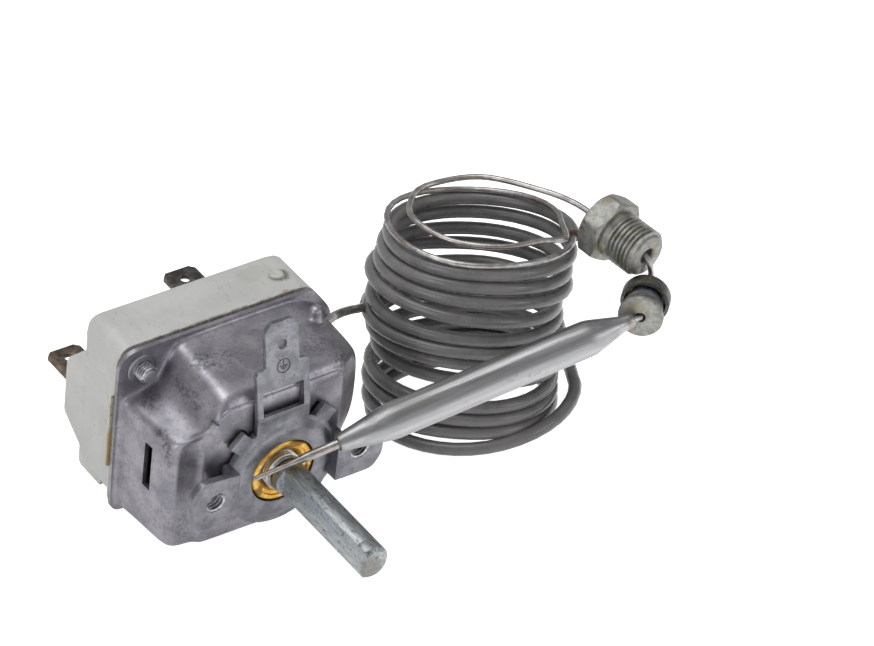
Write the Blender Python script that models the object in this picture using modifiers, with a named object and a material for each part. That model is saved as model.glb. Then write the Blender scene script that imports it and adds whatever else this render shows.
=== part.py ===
"""Capillary thermostat with a control shaft, a coiled capillary and a sensor bulb.

Units are metres. +Z is up, the shaft points out of the front along -Y and +X is to the right.
The origin lies on the shaft's axis, level with the front faces of the two bracket ears: the
middle between the two screws that hold the thermostat to its panel.
"""
import math

import bmesh
import bpy
from mathutils import Vector

# Fit between pieces
GAP = 0.0003

# Control shaft and the spindle that it turns
SHAFT_RADIUS = 0.0030
SHAFT_TIP = -0.0242
SHAFT_ROOT = 0.0006
SHAFT_CHAMFER = 0.0006
SHAFT_FLAT = 0.0016
SHAFT_FLAT_END = -0.0010
TANG_RADIUS = 0.0018
TANG_LENGTH = 0.0026
SPINDLE_RADIUS = 0.0035
SPINDLE_FRONT = SHAFT_ROOT + GAP
SPINDLE_REAR = 0.0090
SPINDLE_PITCH = 0.0010
SPINDLE_NOSE_RADIUS = 0.0015
SPINDLE_NOSE_END = 0.0105

# Brass bush around the spindle
BUSH_RADIUS = 0.00595
BUSH_FRONT = 0.0015
BUSH_REAR = 0.0064
BUSH_FLANGE_RADIUS = 0.0076

# Mounting bracket
BRACKET_SHEET = 0.0012
EAR_SPACING = 0.028
EAR_HEIGHT = 0.0049
EAR_REACH = 0.0187
EAR_HOLE_RADIUS = 0.00175
EAR_COLLAR_RADIUS = 0.0028
EAR_COLLAR_LENGTH = 0.0010
PLATE_FRONT = 0.0021
PLATE_RADIUS = 0.0106
JOGGLE_X = 0.0108
COLLAR_FRONT = 0.0015
COLLAR_RADIUS = 0.0092
ARM_X = -0.0006
ARM_SHEET = 0.0009
ARM_TILT = math.radians(10.6)
ARM_BASE_Z = 0.0118
ARM_HALF_WIDTH = 0.0050
ARM_STRIP = 0.0011
ARM_HEIGHT = 0.0090
WINDOW_BOTTOM = 0.0004
WINDOW_TOP = 0.0049
TAB_HALF_WIDTH = 0.00315
TAB_LENGTH = 0.0079
TAB_HOLE = 0.0037
TAB_HOLE_RADIUS = 0.0009
LUG_RADIUS = 0.0130
LUG_WIDTH = 0.0034
LUG_ANGLES = (math.radians(48), math.radians(135))

# Front casing, drawn from sheet
SHEET = 0.0008
RIM_Y = 0.0200
RIM_HALF_WIDTH = 0.0207
RIM_TOP = 0.0183
RIM_BOTTOM = -0.0148
FLANGE = 0.0012
WALL_HALF_WIDTH = RIM_HALF_WIDTH - FLANGE
WALL_RIGHT = RIM_HALF_WIDTH - 0.0006
WALL_CORNER = 0.0028
WALL_TOP = 0.0172
WALL_BOTTOM = -0.0136
CUT_LEFT_Z = 0.0090
CUT_TOP_X = -WALL_HALF_WIDTH + 0.0096
DISH = Vector((-WALL_HALF_WIDTH + 0.0062, 0.0105))
BEND_X = WALL_HALF_WIDTH - 0.0072
CUT_RIGHT_Z = -0.0015
CUT_BOTTOM_X = WALL_HALF_WIDTH - 0.0121
FACE_Y = 0.0036
FACE_LEFT = -WALL_HALF_WIDTH + 0.0056
FACE_RIGHT = WALL_HALF_WIDTH - 0.0078
FACE_TOP = 0.0147
FACE_BOTTOM = -0.0118
STRIP_Y = 0.0056
SIDE_SLOT = (-0.0036, 0.0052)
SIDE_SLOT_Y = (0.0112, 0.0132)
FACE_SLOT_HALF_WIDTH = 0.0030
FACE_SLOT = (0.0099, 0.0112)

# Ceramic base and the insulating gasket in front of it
GASKET_Y = RIM_Y + SHEET + GAP
GASKET_SHEET = 0.0004
GASKET_LEFT = -RIM_HALF_WIDTH + 0.0004
GASKET_RIGHT = RIM_HALF_WIDTH - 0.0007
GASKET_BOTTOM = RIM_BOTTOM + 0.0012
GASKET_TOP = RIM_TOP - 0.0007
GASKET_TONGUE_X = GASKET_LEFT - 0.0008
GASKET_TONGUE = (-0.0052, 0.0096)
BASE_FRONT = GASKET_Y + GASKET_SHEET + GAP
BASE_LEFT = -WALL_HALF_WIDTH
BASE_RIGHT = WALL_HALF_WIDTH - 0.0010
BASE_BOTTOM = -0.0128
BASE_TOP = 0.0180
BASE_REAR = BASE_FRONT + 0.0096
BLOCK_FRONT = BASE_FRONT + 0.0032
BLOCK_REAR = BASE_REAR + 0.0055
BLOCK_TOP = 0.0112
POCKET_LEFT = BASE_LEFT + 0.0019
POCKET_RIGHT = 0.0125
POCKET_BOTTOM = -0.0075
POCKET_TOP = 0.0108
POCKET_REAR = BASE_REAR - 0.0010

# Screws that hold the casing on the ceramic base
SCREW_PLACES = ((-WALL_HALF_WIDTH + 0.0033, WALL_TOP - 0.0030),
                (WALL_HALF_WIDTH - 0.0037, WALL_BOTTOM + 0.0040))
SCREW_RADIUS = 0.0017
SCREW_TIP = 0.0174
SCREW_SEAT = BASE_REAR - 0.0002
SCREW_HEAD_RADIUS = 0.0024
SCREW_HEAD = 0.0011
BOSS_RADIUS = 0.0031
BOSS_REAR = BASE_REAR + 0.0005
STUD_X = BEND_X + 0.0017
STUD_Y = 0.0155
STUD_RADIUS = 0.0011
STUD_FOOT_RADIUS = 0.0016

# Terminals and contacts
BLADE = 0.0008
BLADE_WIDTH = 0.0063
BLADE_TIP = BLOCK_REAR + 0.0075
BLADE_ROOT = 0.0009
BLADE_CORNER = 0.0009
NECK_FRONT = BLOCK_REAR - 0.0101
BLADE_HOLE_RADIUS = 0.0009
TERMINAL_1 = Vector((POCKET_RIGHT - 0.0062, 0.0090))
TERMINAL_2 = Vector((POCKET_LEFT + 0.0019, 0.0005))
TERMINAL_HOLE = 0.0027
CONTACT_RADIUS = 0.0015
FIXED_PLATE_Y = 0.0222
SPRING_Y = 0.0252
SPRING_SHEET = 0.0004
SPRING_HALF_HEIGHT = 0.0022
HINGE_X = TERMINAL_2.x + 0.0032

# Diaphragm capsule and the pin that it pushes
CAPSULE_RADIUS = 0.0095
CAPSULE_FRONT = SPINDLE_NOSE_END + GAP
CAPSULE_THICKNESS = 0.0026
PIN_RADIUS = 0.0012
PIN_FRONT = 0.0144
PIN_REAR = SPRING_Y - GAP

# Capillary, its coil, and the gland and washers on it
LEAD_RADIUS = 0.00075
LEAD_HOLE_RADIUS = LEAD_RADIUS + 0.0006
WIRE_RADIUS = 0.0005
COIL_FOOT = Vector((0.0456, 0.0108, -0.0107))
COIL_AXIS = Vector((0.034, 0.216, 0.976)).normalized()
COIL_HEIGHT = 0.0322
COIL_WIDE = 0.0176
COIL_WIDE_HEIGHT = 0.0070
COIL_OUTER = 0.0164
COIL_WALL = 0.0027
TURN_RADIUS = 0.0154
TURN_SHIFT = Vector((0.0010, -0.0006, 0.0))
GLAND_FRONT = Vector((0.0645, -0.0062, 0.0259))
GLAND_AXIS = Vector((0.15, -0.99, -0.05)).normalized()
GLAND_THREAD_RADIUS = 0.0043
GLAND_THREAD = 0.0070
GLAND_HEX = 0.0043
GLAND_HEX_RADIUS = 0.0060
GLAND_BORE_RADIUS = 0.0013
STACK_FRONT = Vector((0.0587, -0.0130, 0.0200))
STACK_AXIS = Vector((0.738, 0.671, -0.057)).normalized()
WASHER_RADIUS = 0.0038
WASHER_HOLE_RADIUS = 0.0010
FLAT_WASHER = 0.0010
SEAL_LENGTH = 0.0052
CUP_LENGTH = 0.0030
CUP_WALL = 0.0006
LEAD_ROUTE = (
    (0.0070, 0.0156, 0.0040),
    (0.0125, 0.0166, 0.0085),
    (0.0160, 0.0172, 0.0120),
    (0.0195, 0.0176, 0.0134),
    (0.0240, 0.0194, 0.0117),
    (0.0280, 0.0222, 0.0086),
    (0.0323, 0.0256, 0.0053),
)
TAIL_ROUTE = (
    (0.0596, 0.0079, 0.0246),
    (0.0567, 0.0062, 0.0259),
    (0.0511, 0.0045, 0.0267),
    (0.0438, 0.0069, 0.0263),
    (0.0380, 0.0129, 0.0257),
    (0.0364, 0.0205, 0.0253),
    (0.0386, 0.0250, 0.0251),
    (0.0440, 0.0281, 0.0247),
    (0.0530, 0.0250, 0.0256),
    (0.0584, 0.0157, 0.0272),
    (0.0616, 0.0098, 0.0271),
    (0.0628, 0.0051, 0.0265),
    (0.0637, -0.0006, 0.0262),
    (0.0643, -0.0048, 0.0261),
    (0.0645, -0.0062, 0.0256),
    (0.0648, -0.0070, 0.0243),
    (0.0651, -0.0071, 0.0227),
    (0.0655, -0.0069, 0.0212),
    (0.0652, -0.0071, 0.0201),
    (0.0642, -0.0080, 0.0196),
    (0.0616, -0.0103, 0.0198),
    (0.0587, -0.0130, 0.0200),
    (0.0565, -0.0127, 0.0197),
)

# Sensor bulb and its closed filling tube
BULB_START = Vector((0.00687, -0.00308, 0.00641))
BULB_AXIS = Vector((0.949, -0.182, 0.254)).normalized()
BULB_RADIUS = 0.00305
BULB_NOSE_RADIUS = 0.00145
BULB_NOSE = 0.0092
BULB_STRAIGHT_END = 0.0447
BULB_END = 0.0510
BULB_END_RADIUS = 0.0014
BULB_NECK_END = 0.0532
BULB_NECK_RADIUS = 0.0012
FILL_TUBE_RADIUS = 0.00078
FILL_TUBE_TIP_RADIUS = 0.0004
FILL_TUBE_LENGTH = 0.0150
FILL_TUBE_SEAT = 0.0015

FRONT_VIEW = (math.radians(90), 0, 0)
TURN_STEPS = 32

for old in list(bpy.data.objects):
    bpy.data.objects.remove(old, do_unlink=True)
parts = bpy.data.collections.new("capillary_thermostat")
cutters = bpy.data.collections.new("cutters")
bpy.context.scene.collection.children.link(parts)
bpy.context.scene.collection.children.link(cutters)


def material(name, colour, metallic, roughness):
    mat = bpy.data.materials.new(name)
    mat.use_nodes = True
    shader = mat.node_tree.nodes["Principled BSDF"]
    shader.inputs["Base Color"].default_value = (*colour, 1.0)
    shader.inputs["Metallic"].default_value = metallic
    shader.inputs["Roughness"].default_value = roughness
    return mat


ZINC = material("zinc_plate", (0.30, 0.30, 0.33), 0.9, 0.40)
BRACKET_ZINC = material("bracket_zinc", (0.32, 0.32, 0.35), 0.9, 0.38)
SHAFT_STEEL = material("shaft_steel", (0.28, 0.29, 0.30), 0.9, 0.40)
BRASS = material("bush_brass", (0.62, 0.40, 0.10), 1.0, 0.30)
CERAMIC = material("ceramic", (0.58, 0.58, 0.55), 0.0, 0.55)
MICA = material("gasket_sheet", (0.62, 0.55, 0.36), 0.0, 0.70)
SCREW_STEEL = material("screw_steel", (0.35, 0.35, 0.37), 0.9, 0.35)
TERMINAL_1_METAL = material("terminal_dark", (0.10, 0.09, 0.08), 0.7, 0.50)
TERMINAL_2_METAL = material("terminal_bronze", (0.16, 0.11, 0.07), 0.7, 0.50)
SILVER = material("contact_silver", (0.60, 0.60, 0.58), 1.0, 0.30)
SPRING_BRONZE = material("spring_bronze", (0.45, 0.30, 0.18), 1.0, 0.35)
CAPSULE_STEEL = material("capsule_steel", (0.40, 0.40, 0.41), 1.0, 0.30)
CAPILLARY = material("capillary_steel", (0.35, 0.34, 0.33), 0.9, 0.35)
SLEEVE = material("sleeve", (0.09, 0.085, 0.08), 0.0, 0.45)
GLAND_ZINC = material("gland_zinc", (0.34, 0.34, 0.32), 0.9, 0.45)
SEAL_RUBBER = material("seal_dark", (0.06, 0.06, 0.065), 0.0, 0.60)
BULB_NICKEL = material("bulb_nickel", (0.45, 0.45, 0.45), 1.0, 0.32)


def finish(obj, name, mat, smooth_angle=35):
    """Name the object, give it its material and smooth its round faces."""
    obj.name = name
    obj.data.name = name
    obj.data.materials.clear()
    obj.data.materials.append(mat)
    obj.data.shade_smooth()
    obj.data.set_sharp_from_angle(angle=math.radians(smooth_angle))
    return obj


def add_to(collection, mesh, name, place=None):
    obj = bpy.data.objects.new(name, mesh)
    obj.location = (0, 0, 0) if place is None else place
    collection.objects.link(obj)
    return obj


def box(name, low, high, collection=None):
    """A box between two corners."""
    low, high = Vector(low), Vector(high)
    mesh = bpy.data.meshes.new(name)
    bm = bmesh.new()
    bmesh.ops.create_cube(bm, size=1.0)
    bmesh.ops.scale(bm, vec=high - low, verts=bm.verts)
    bm.to_mesh(mesh)
    bm.free()
    return add_to(collection or cutters, mesh, name, (low + high) / 2)


def rod(name, radius, start, end, collection=None, steps=24, end_radius=None):
    """A cylinder or cone between two points."""
    start, end = Vector(start), Vector(end)
    mesh = bpy.data.meshes.new(name)
    bm = bmesh.new()
    bmesh.ops.create_cone(
        bm, cap_ends=True, segments=steps, radius1=radius,
        radius2=radius if end_radius is None else end_radius, depth=(end - start).length)
    bm.to_mesh(mesh)
    bm.free()
    obj = add_to(collection or cutters, mesh, name, (start + end) / 2)
    obj.rotation_mode = "QUATERNION"
    obj.rotation_quaternion = (end - start).to_track_quat("Z", "Y")
    return obj


def turned(name, profile, mat, foot, axis, collection=None, steps=TURN_STEPS):
    """A solid turned about an axis through foot.

    The profile's points are (radius, height) and run down the outer side first.
    """
    mesh = bpy.data.meshes.new(name)
    count = len(profile)
    closed = min(radius for radius, height in profile) > 0
    edges = [(i, i + 1) for i in range(count - 1)]
    if closed:
        edges.append((count - 1, 0))
    mesh.from_pydata([(radius, 0, height) for radius, height in profile], edges, [])
    obj = add_to(collection or parts, mesh, name, foot)
    obj.rotation_mode = "QUATERNION"
    obj.rotation_quaternion = Vector(axis).to_track_quat("Z", "Y")
    screw = obj.modifiers.new("turn", "SCREW")
    screw.axis = "Z"
    screw.angle = math.radians(360)
    screw.steps = steps
    screw.render_steps = steps
    screw.use_merge_vertices = True
    screw.merge_threshold = 0.00001
    screw.use_smooth_shade = True
    obj.data.materials.append(mat)
    return obj


def as_mesh(curve_object, name, collection):
    """The curve object's evaluated shape as a welded mesh object."""
    graph = bpy.context.evaluated_depsgraph_get()
    mesh = bpy.data.meshes.new_from_object(curve_object.evaluated_get(graph))
    bm = bmesh.new()
    bm.from_mesh(mesh)
    bmesh.ops.remove_doubles(bm, verts=bm.verts, dist=0.000001)
    bm.to_mesh(mesh)
    bm.free()
    place = curve_object.matrix_world.copy()
    bpy.data.objects.remove(curve_object, do_unlink=True)
    obj = add_to(collection, mesh, name)
    obj.matrix_world = place
    return obj


def plate(name, outlines, front, thickness, collection=None, rotation=FRONT_VIEW, place=None):
    """A flat sheet from its outline and the outlines of its holes, seen from the front."""
    curve = bpy.data.curves.new(name + "_outline", "CURVE")
    curve.dimensions = "2D"
    curve.fill_mode = "BOTH"
    curve.extrude = thickness / 2
    for outline in outlines:
        spline = curve.splines.new("POLY")
        spline.points.add(len(outline) - 1)
        for point, (x, z) in zip(spline.points, outline):
            point.co = (x, z, 0, 1)
        spline.use_cyclic_u = True
    obj = bpy.data.objects.new(name + "_outline", curve)
    obj.location = (0, front + thickness / 2, 0) if place is None else place
    obj.rotation_euler = rotation
    parts.objects.link(obj)
    bpy.context.view_layer.update()
    return as_mesh(obj, name, collection or parts)


def circle(radius, centre=(0, 0), steps=32):
    angles = [2 * math.pi * i / steps for i in range(steps)]
    return [(centre[0] + radius * math.cos(a), centre[1] + radius * math.sin(a)) for a in angles]


def rounded(corners, radii, steps=3, share=0.45):
    """A polygon whose corners are softened by curves that start a radius before them.

    A curve takes up no more than its share of the edges on either side.
    """
    points = []
    count = len(corners)
    for i, corner in enumerate(corners):
        corner = Vector(corner)
        before = Vector(corners[i - 1]) - corner
        after = Vector(corners[(i + 1) % count]) - corner
        reach = radii[i] if isinstance(radii, (list, tuple)) else radii
        start = corner + before.normalized() * min(reach, before.length * share)
        end = corner + after.normalized() * min(reach, after.length * share)
        for k in range(steps + 1):
            t = k / steps
            points.append(start * (1 - t) ** 2 + corner * 2 * t * (1 - t) + end * t ** 2)
    return points


def combine(obj, other, operation):
    """Cut the other solid out of the object, or join it on."""
    step = obj.modifiers.new(operation.lower(), "BOOLEAN")
    step.operation = operation
    step.solver = "EXACT"
    step.object = other
    other.hide_render = True
    other.display_type = "WIRE"
    return obj


def cut(obj, other):
    return combine(obj, other, "DIFFERENCE")


def join(obj, other):
    return combine(obj, other, "UNION")


def smooth_route(route, spacing):
    """Points along a smooth curve through the route's points, about a spacing apart."""
    knots = [Vector(p) for p in route]
    knots = [2 * knots[0] - knots[1]] + knots + [2 * knots[-1] - knots[-2]]
    points = []
    for i in range(1, len(knots) - 2):
        a, b, c, d = knots[i - 1:i + 3]
        steps = max(1, round((c - b).length / spacing))
        for k in range(steps):
            t = k / steps
            points.append(0.5 * (2 * b + (c - a) * t + (2 * a - 5 * b + 4 * c - d) * t ** 2
                                 + (3 * b - a - 3 * c + d) * t ** 3))
    points.append(knots[-2])
    return points


def tube(name, route, radius, mat, spacing):
    points = smooth_route(route, spacing)
    curve = bpy.data.curves.new(name, "CURVE")
    curve.dimensions = "3D"
    curve.bevel_depth = radius
    curve.bevel_resolution = 2
    curve.use_fill_caps = True
    spline = curve.splines.new("POLY")
    spline.points.add(len(points) - 1)
    for point, place in zip(spline.points, points):
        point.co = (*place, 1)
    obj = bpy.data.objects.new(name, curve)
    parts.objects.link(obj)
    curve.materials.append(mat)
    return obj


def casing_section(inset, low_inset, right_inset, left_y, middle_y, right_y):
    """One ring of the drawn casing: the wall's outline, inset, with its depth at each side."""
    left = -WALL_HALF_WIDTH + inset
    right = WALL_RIGHT - right_inset
    slide = 0.5 * inset
    low = WALL_BOTTOM + low_inset
    top = WALL_TOP - inset
    corners = (
        (left, left_y, low),
        (left, left_y, CUT_LEFT_Z + slide * 0.4),
        (DISH.x, middle_y, DISH.y + slide),
        (CUT_TOP_X - slide, middle_y, top),
        (BEND_X, middle_y, top),
        (right, right_y, top - WALL_CORNER),
        (right, right_y, CUT_RIGHT_Z + slide),
        (CUT_BOTTOM_X - slide, middle_y, low),
    )
    reaches = (0.0022, 0.0016, 0.0022, 0.0022, 0.0015, 0.0072, 0.0035, 0.0035)
    return rounded(corners, reaches, share=0.72)


def face_section(grow, y, left_y, right_y):
    """One ring of the raised front face, grown outwards by a margin."""
    corners = (
        (FACE_LEFT - grow, left_y, FACE_BOTTOM - grow * 0.3),
        (FACE_LEFT - grow, left_y, 0.0095),
        (FACE_LEFT + 0.0010, y, 0.0121),
        (FACE_LEFT + 0.0028, y, FACE_TOP + grow * 0.4),
        (FACE_RIGHT - 0.0011, y, FACE_TOP + grow * 0.4),
        (FACE_RIGHT + grow, right_y, FACE_TOP - 0.0011),
        (FACE_RIGHT + grow, right_y, -0.0060),
        (FACE_RIGHT - 0.0064, y, FACE_BOTTOM - grow * 0.3),
    )
    return rounded(corners, (0.0010, 0.0012, 0.0015, 0.0015, 0.0008, 0.0008, 0.0020, 0.0020))


def rim_section():
    """The outer edge of the casing's flange."""
    corners = (
        (-RIM_HALF_WIDTH, RIM_Y, RIM_BOTTOM),
        (-RIM_HALF_WIDTH, RIM_Y, RIM_TOP - 0.0029),
        (-RIM_HALF_WIDTH + 0.0010, RIM_Y, RIM_TOP - 0.0010),
        (-RIM_HALF_WIDTH + 0.0029, RIM_Y, RIM_TOP),
        (RIM_HALF_WIDTH - 0.0041, RIM_Y, RIM_TOP),
        (RIM_HALF_WIDTH, RIM_Y, RIM_TOP - 0.0055),
        (RIM_HALF_WIDTH, RIM_Y, RIM_BOTTOM + 0.0030),
        (RIM_HALF_WIDTH - 0.0030, RIM_Y, RIM_BOTTOM),
    )
    return rounded(corners, (0.0030, 0.0010, 0.0010, 0.0010, 0.0008, 0.0020, 0.0020, 0.0020))


def front_casing():
    """The drawn casing, a loft from its flange to its raised face, given its thickness."""
    wall_root = RIM_Y - 0.0007
    rings = [
        rim_section(),
        casing_section(-0.0005, -0.0004, -0.0003, RIM_Y, RIM_Y, RIM_Y),
        casing_section(0.0, 0.0, 0.0, wall_root, wall_root, wall_root),
        casing_section(0.0002, 0.0004, 0.0001, 0.0130, 0.0130, 0.0150),
        casing_section(0.0004, 0.0007, 0.0003, 0.0074, 0.0066, 0.0108),
        casing_section(0.0008, 0.0009, 0.0007, 0.0063, 0.0053, 0.0099),
        casing_section(0.0015, 0.0012, 0.0016, STRIP_Y + 0.0001, 0.0045, 0.0094),
        casing_section(0.0022, 0.0014, 0.0027, STRIP_Y, 0.0041, 0.0091),
        face_section(0.0008, 0.0039, STRIP_Y - 0.0003, 0.0042),
        face_section(0.0001, FACE_Y + 0.0001, FACE_Y + 0.0006, FACE_Y + 0.0001),
        face_section(-0.0005, FACE_Y, FACE_Y, FACE_Y),
    ]
    count = len(rings[0])
    verts = [point for ring in rings for point in ring]
    faces = []
    for r in range(len(rings) - 1):
        for i in range(count):
            j = (i + 1) % count
            faces.append((r * count + i, r * count + j, (r + 1) * count + j, (r + 1) * count + i))
    faces.append([(len(rings) - 1) * count + i for i in range(count)])
    mesh = bpy.data.meshes.new("front_casing")
    mesh.from_pydata(verts, [], faces)
    bm = bmesh.new()
    bm.from_mesh(mesh)
    bmesh.ops.remove_doubles(bm, verts=bm.verts, dist=0.000001)
    bmesh.ops.recalc_face_normals(bm, faces=bm.faces)
    face = max(bm.faces, key=lambda f: f.calc_area())
    if face.normal.y > 0:
        bmesh.ops.reverse_faces(bm, faces=bm.faces)
    bm.to_mesh(mesh)
    bm.free()
    obj = add_to(parts, mesh, "front_casing")
    shell = obj.modifiers.new("sheet", "SOLIDIFY")
    shell.thickness = SHEET
    shell.offset = -1
    shell.use_even_offset = True
    cut(obj, rod("bush_hole", BUSH_RADIUS + GAP, (0, 0.0, 0), (0, 0.0100, 0), steps=40))
    cut(obj, box("face_slot", (ARM_X - FACE_SLOT_HALF_WIDTH, 0.0010, FACE_SLOT[0]),
                 (ARM_X + FACE_SLOT_HALF_WIDTH, 0.0080, FACE_SLOT[1])))
    cut(obj, box("side_slot", (-0.0230, SIDE_SLOT_Y[0], SIDE_SLOT[0]),
                 (-0.0160, SIDE_SLOT_Y[1], SIDE_SLOT[1])))
    for x, z in SCREW_PLACES:
        cut(obj, rod("pad_hole", SCREW_RADIUS + GAP, (x, 0.0180, z), (x, 0.0230, z)))
    exit_point = Vector(LEAD_ROUTE[3])
    reach = (Vector(LEAD_ROUTE[4]) - Vector(LEAD_ROUTE[2])).normalized() * 0.0030
    cut(obj, rod("lead_hole", LEAD_HOLE_RADIUS, exit_point - reach, exit_point + reach))
    for angle in LUG_ANGLES:
        hole = box("lug_slot", (0.0104, 0.0010, -0.0021), (0.0126, 0.0080, 0.0021))
        turn_about_shaft(hole, angle)
    # The lug slots are cut after they have been turned into place
    for hole in [o for o in cutters.objects if o.name.startswith("lug_slot")]:
        cut(obj, hole)
    return finish(obj, "front_casing", ZINC, 50)


def turn_about_shaft(obj, angle):
    """Turn an object about the shaft's axis, anticlockwise seen from the front."""
    x, y, z = obj.location
    obj.location = (x * math.cos(angle) - z * math.sin(angle), y,
                    x * math.sin(angle) + z * math.cos(angle))
    obj.rotation_euler = (0, -angle, 0)


def casing_stud():
    """The rounded stud that stands on the casing's top."""
    z = WALL_TOP + GAP
    profile = ((0.0, 0.0017), (0.0006, 0.0016), (STUD_RADIUS, 0.0011), (STUD_RADIUS, 0.0003),
               (STUD_FOOT_RADIUS, 0.0002), (STUD_FOOT_RADIUS, 0.0), (0.0, 0.0))
    return turned("casing_stud", profile, SCREW_STEEL, (STUD_X, STUD_Y, z), (0, 0, 1), steps=24)


def mounting_bracket():
    """The bracket: a pressed collar, two threaded ears and the arm with the earth tab."""
    obj = plate("mounting_bracket", [circle(PLATE_RADIUS, steps=40)], PLATE_FRONT, BRACKET_SHEET)
    collar = turned(
        "collar", ((BUSH_RADIUS + GAP, BRACKET_SHEET), (0.0081, BRACKET_SHEET),
                   (COLLAR_RADIUS, BRACKET_SHEET - (PLATE_FRONT - COLLAR_FRONT) - 0.0001),
                   (COLLAR_RADIUS, 0.0), (BUSH_RADIUS + GAP, 0.0)),
        BRACKET_ZINC, (0, COLLAR_FRONT + BRACKET_SHEET, 0), (0, -1, 0), cutters, 40)
    join(obj, collar)
    ear_x = EAR_SPACING / 2
    for side in (-1, 1):
        outline = rounded(
            [(side * JOGGLE_X, -EAR_HEIGHT), (side * (EAR_REACH - 0.0018), -EAR_HEIGHT),
             (side * EAR_REACH, -EAR_HEIGHT + 0.0024), (side * EAR_REACH, EAR_HEIGHT - 0.0024),
             (side * (EAR_REACH - 0.0018), EAR_HEIGHT), (side * JOGGLE_X, EAR_HEIGHT - 0.0006)],
            (0.0001, 0.0010, 0.0012, 0.0012, 0.0010, 0.0001))
        ear = plate("ear", [outline], 0.0, BRACKET_SHEET, cutters)
        join(obj, ear)
        inner = side * (JOGGLE_X - 0.0012)
        outer = side * (JOGGLE_X + 0.0001)
        joggle = box("joggle", (min(inner, outer), 0.0, -EAR_HEIGHT + 0.0001),
                     (max(inner, outer), PLATE_FRONT + BRACKET_SHEET, EAR_HEIGHT - 0.0007))
        join(obj, joggle)
        neck_end = side * 0.0080
        neck = box("neck", (min(neck_end, outer), PLATE_FRONT, -EAR_HEIGHT + 0.0001),
                   (max(neck_end, outer), PLATE_FRONT + BRACKET_SHEET, EAR_HEIGHT - 0.0007))
        join(obj, neck)
        back = BRACKET_SHEET + EAR_COLLAR_LENGTH
        join(obj, rod("ear_collar", EAR_COLLAR_RADIUS, (side * ear_x, 0.0006, 0),
                      (side * ear_x, back, 0), steps=20))
    for angle in LUG_ANGLES:
        lug = box("lug", (0.0090, PLATE_FRONT, -LUG_WIDTH / 2),
                  (LUG_RADIUS, PLATE_FRONT + BRACKET_SHEET - 0.0002, LUG_WIDTH / 2))
        turn_about_shaft(lug, angle)
        join(obj, lug)
    join(obj, box("arm_foot", (ARM_X - ARM_HALF_WIDTH, PLATE_FRONT, 0.0070),
                  (ARM_X + ARM_HALF_WIDTH, PLATE_FRONT + ARM_SHEET, ARM_BASE_Z + 0.0002)))
    join(obj, bracket_arm())
    for side in (-1, 1):
        cut(obj, rod("ear_hole", EAR_HOLE_RADIUS, (side * ear_x, -0.0020, 0),
                     (side * ear_x, 0.0060, 0), steps=20))
    cut(obj, rod("collar_hole", BUSH_RADIUS + GAP, (0, -0.0020, 0), (0, 0.0080, 0), steps=40))
    return finish(obj, "mounting_bracket", BRACKET_ZINC, 30)


def bracket_arm():
    """The arm with its window, and the earth tab, leaning back from the collar."""
    half = ARM_HALF_WIDTH
    tab_top = ARM_HEIGHT + TAB_LENGTH
    outline = rounded(
        [(-half, -0.0003), (half, -0.0003), (half, ARM_HEIGHT - 0.0006),
         (half - 0.0006, ARM_HEIGHT), (TAB_HALF_WIDTH, ARM_HEIGHT),
         (TAB_HALF_WIDTH, tab_top - 0.0012), (TAB_HALF_WIDTH - 0.0012, tab_top),
         (-TAB_HALF_WIDTH + 0.0012, tab_top), (-TAB_HALF_WIDTH, tab_top - 0.0012),
         (-TAB_HALF_WIDTH, ARM_HEIGHT), (-half + 0.0006, ARM_HEIGHT),
         (-half, ARM_HEIGHT - 0.0006)], 0.0004, 2)
    window_half = half - ARM_STRIP
    window = [(-window_half, WINDOW_BOTTOM), (window_half, WINDOW_BOTTOM),
              (window_half, WINDOW_TOP), (-window_half, WINDOW_TOP)]
    hole = circle(TAB_HOLE_RADIUS, (0, ARM_HEIGHT + TAB_HOLE), 16)
    place = (ARM_X, PLATE_FRONT + ARM_SHEET / 2, ARM_BASE_Z)
    lean = (math.radians(90) - ARM_TILT, 0, 0)
    return plate("arm", [outline, window, hole], 0.0, ARM_SHEET, cutters, lean, place)


def brass_bush():
    inner = SPINDLE_RADIUS + GAP
    length = BUSH_REAR - BUSH_FRONT
    flange = BUSH_REAR - FACE_Y - SHEET - GAP
    profile = ((inner + 0.0005, length), (0.0048, length), (BUSH_RADIUS - 0.0003, length - 0.0004),
               (BUSH_RADIUS, length - 0.0010), (BUSH_RADIUS, flange),
               (BUSH_FLANGE_RADIUS, flange), (BUSH_FLANGE_RADIUS, 0.0), (inner, 0.0),
               (inner, length - 0.0006))
    return turned("brass_bush", profile, BRASS, (0, BUSH_REAR, 0), (0, -1, 0), steps=36)


def adjusting_spindle():
    """The threaded spindle, with a socket in front for the shaft's tang."""
    length = SPINDLE_NOSE_END - SPINDLE_FRONT
    nose = SPINDLE_NOSE_END - SPINDLE_REAR
    socket = TANG_RADIUS + GAP
    depth = TANG_LENGTH + GAP
    rounds = 3
    profile = [(socket, length), (SPINDLE_RADIUS - 0.0003, length)]
    for i in range(rounds):
        top = length - 0.0004 - i * SPINDLE_PITCH
        profile.append((SPINDLE_RADIUS, top))
        profile.append((SPINDLE_RADIUS, top - SPINDLE_PITCH * 0.3))
        profile.append((SPINDLE_RADIUS - 0.0003, top - SPINDLE_PITCH * 0.6))
    profile += [(SPINDLE_RADIUS - 0.0003, nose), (SPINDLE_NOSE_RADIUS, nose),
                (SPINDLE_NOSE_RADIUS, 0.0005), (0.0010, 0.0), (0.0, 0.0)]
    profile = [(0.0, length - depth), (socket, length - depth)] + profile
    return turned("adjusting_spindle", profile, SHAFT_STEEL, (0, SPINDLE_NOSE_END, 0),
                  (0, -1, 0), steps=20)


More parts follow.
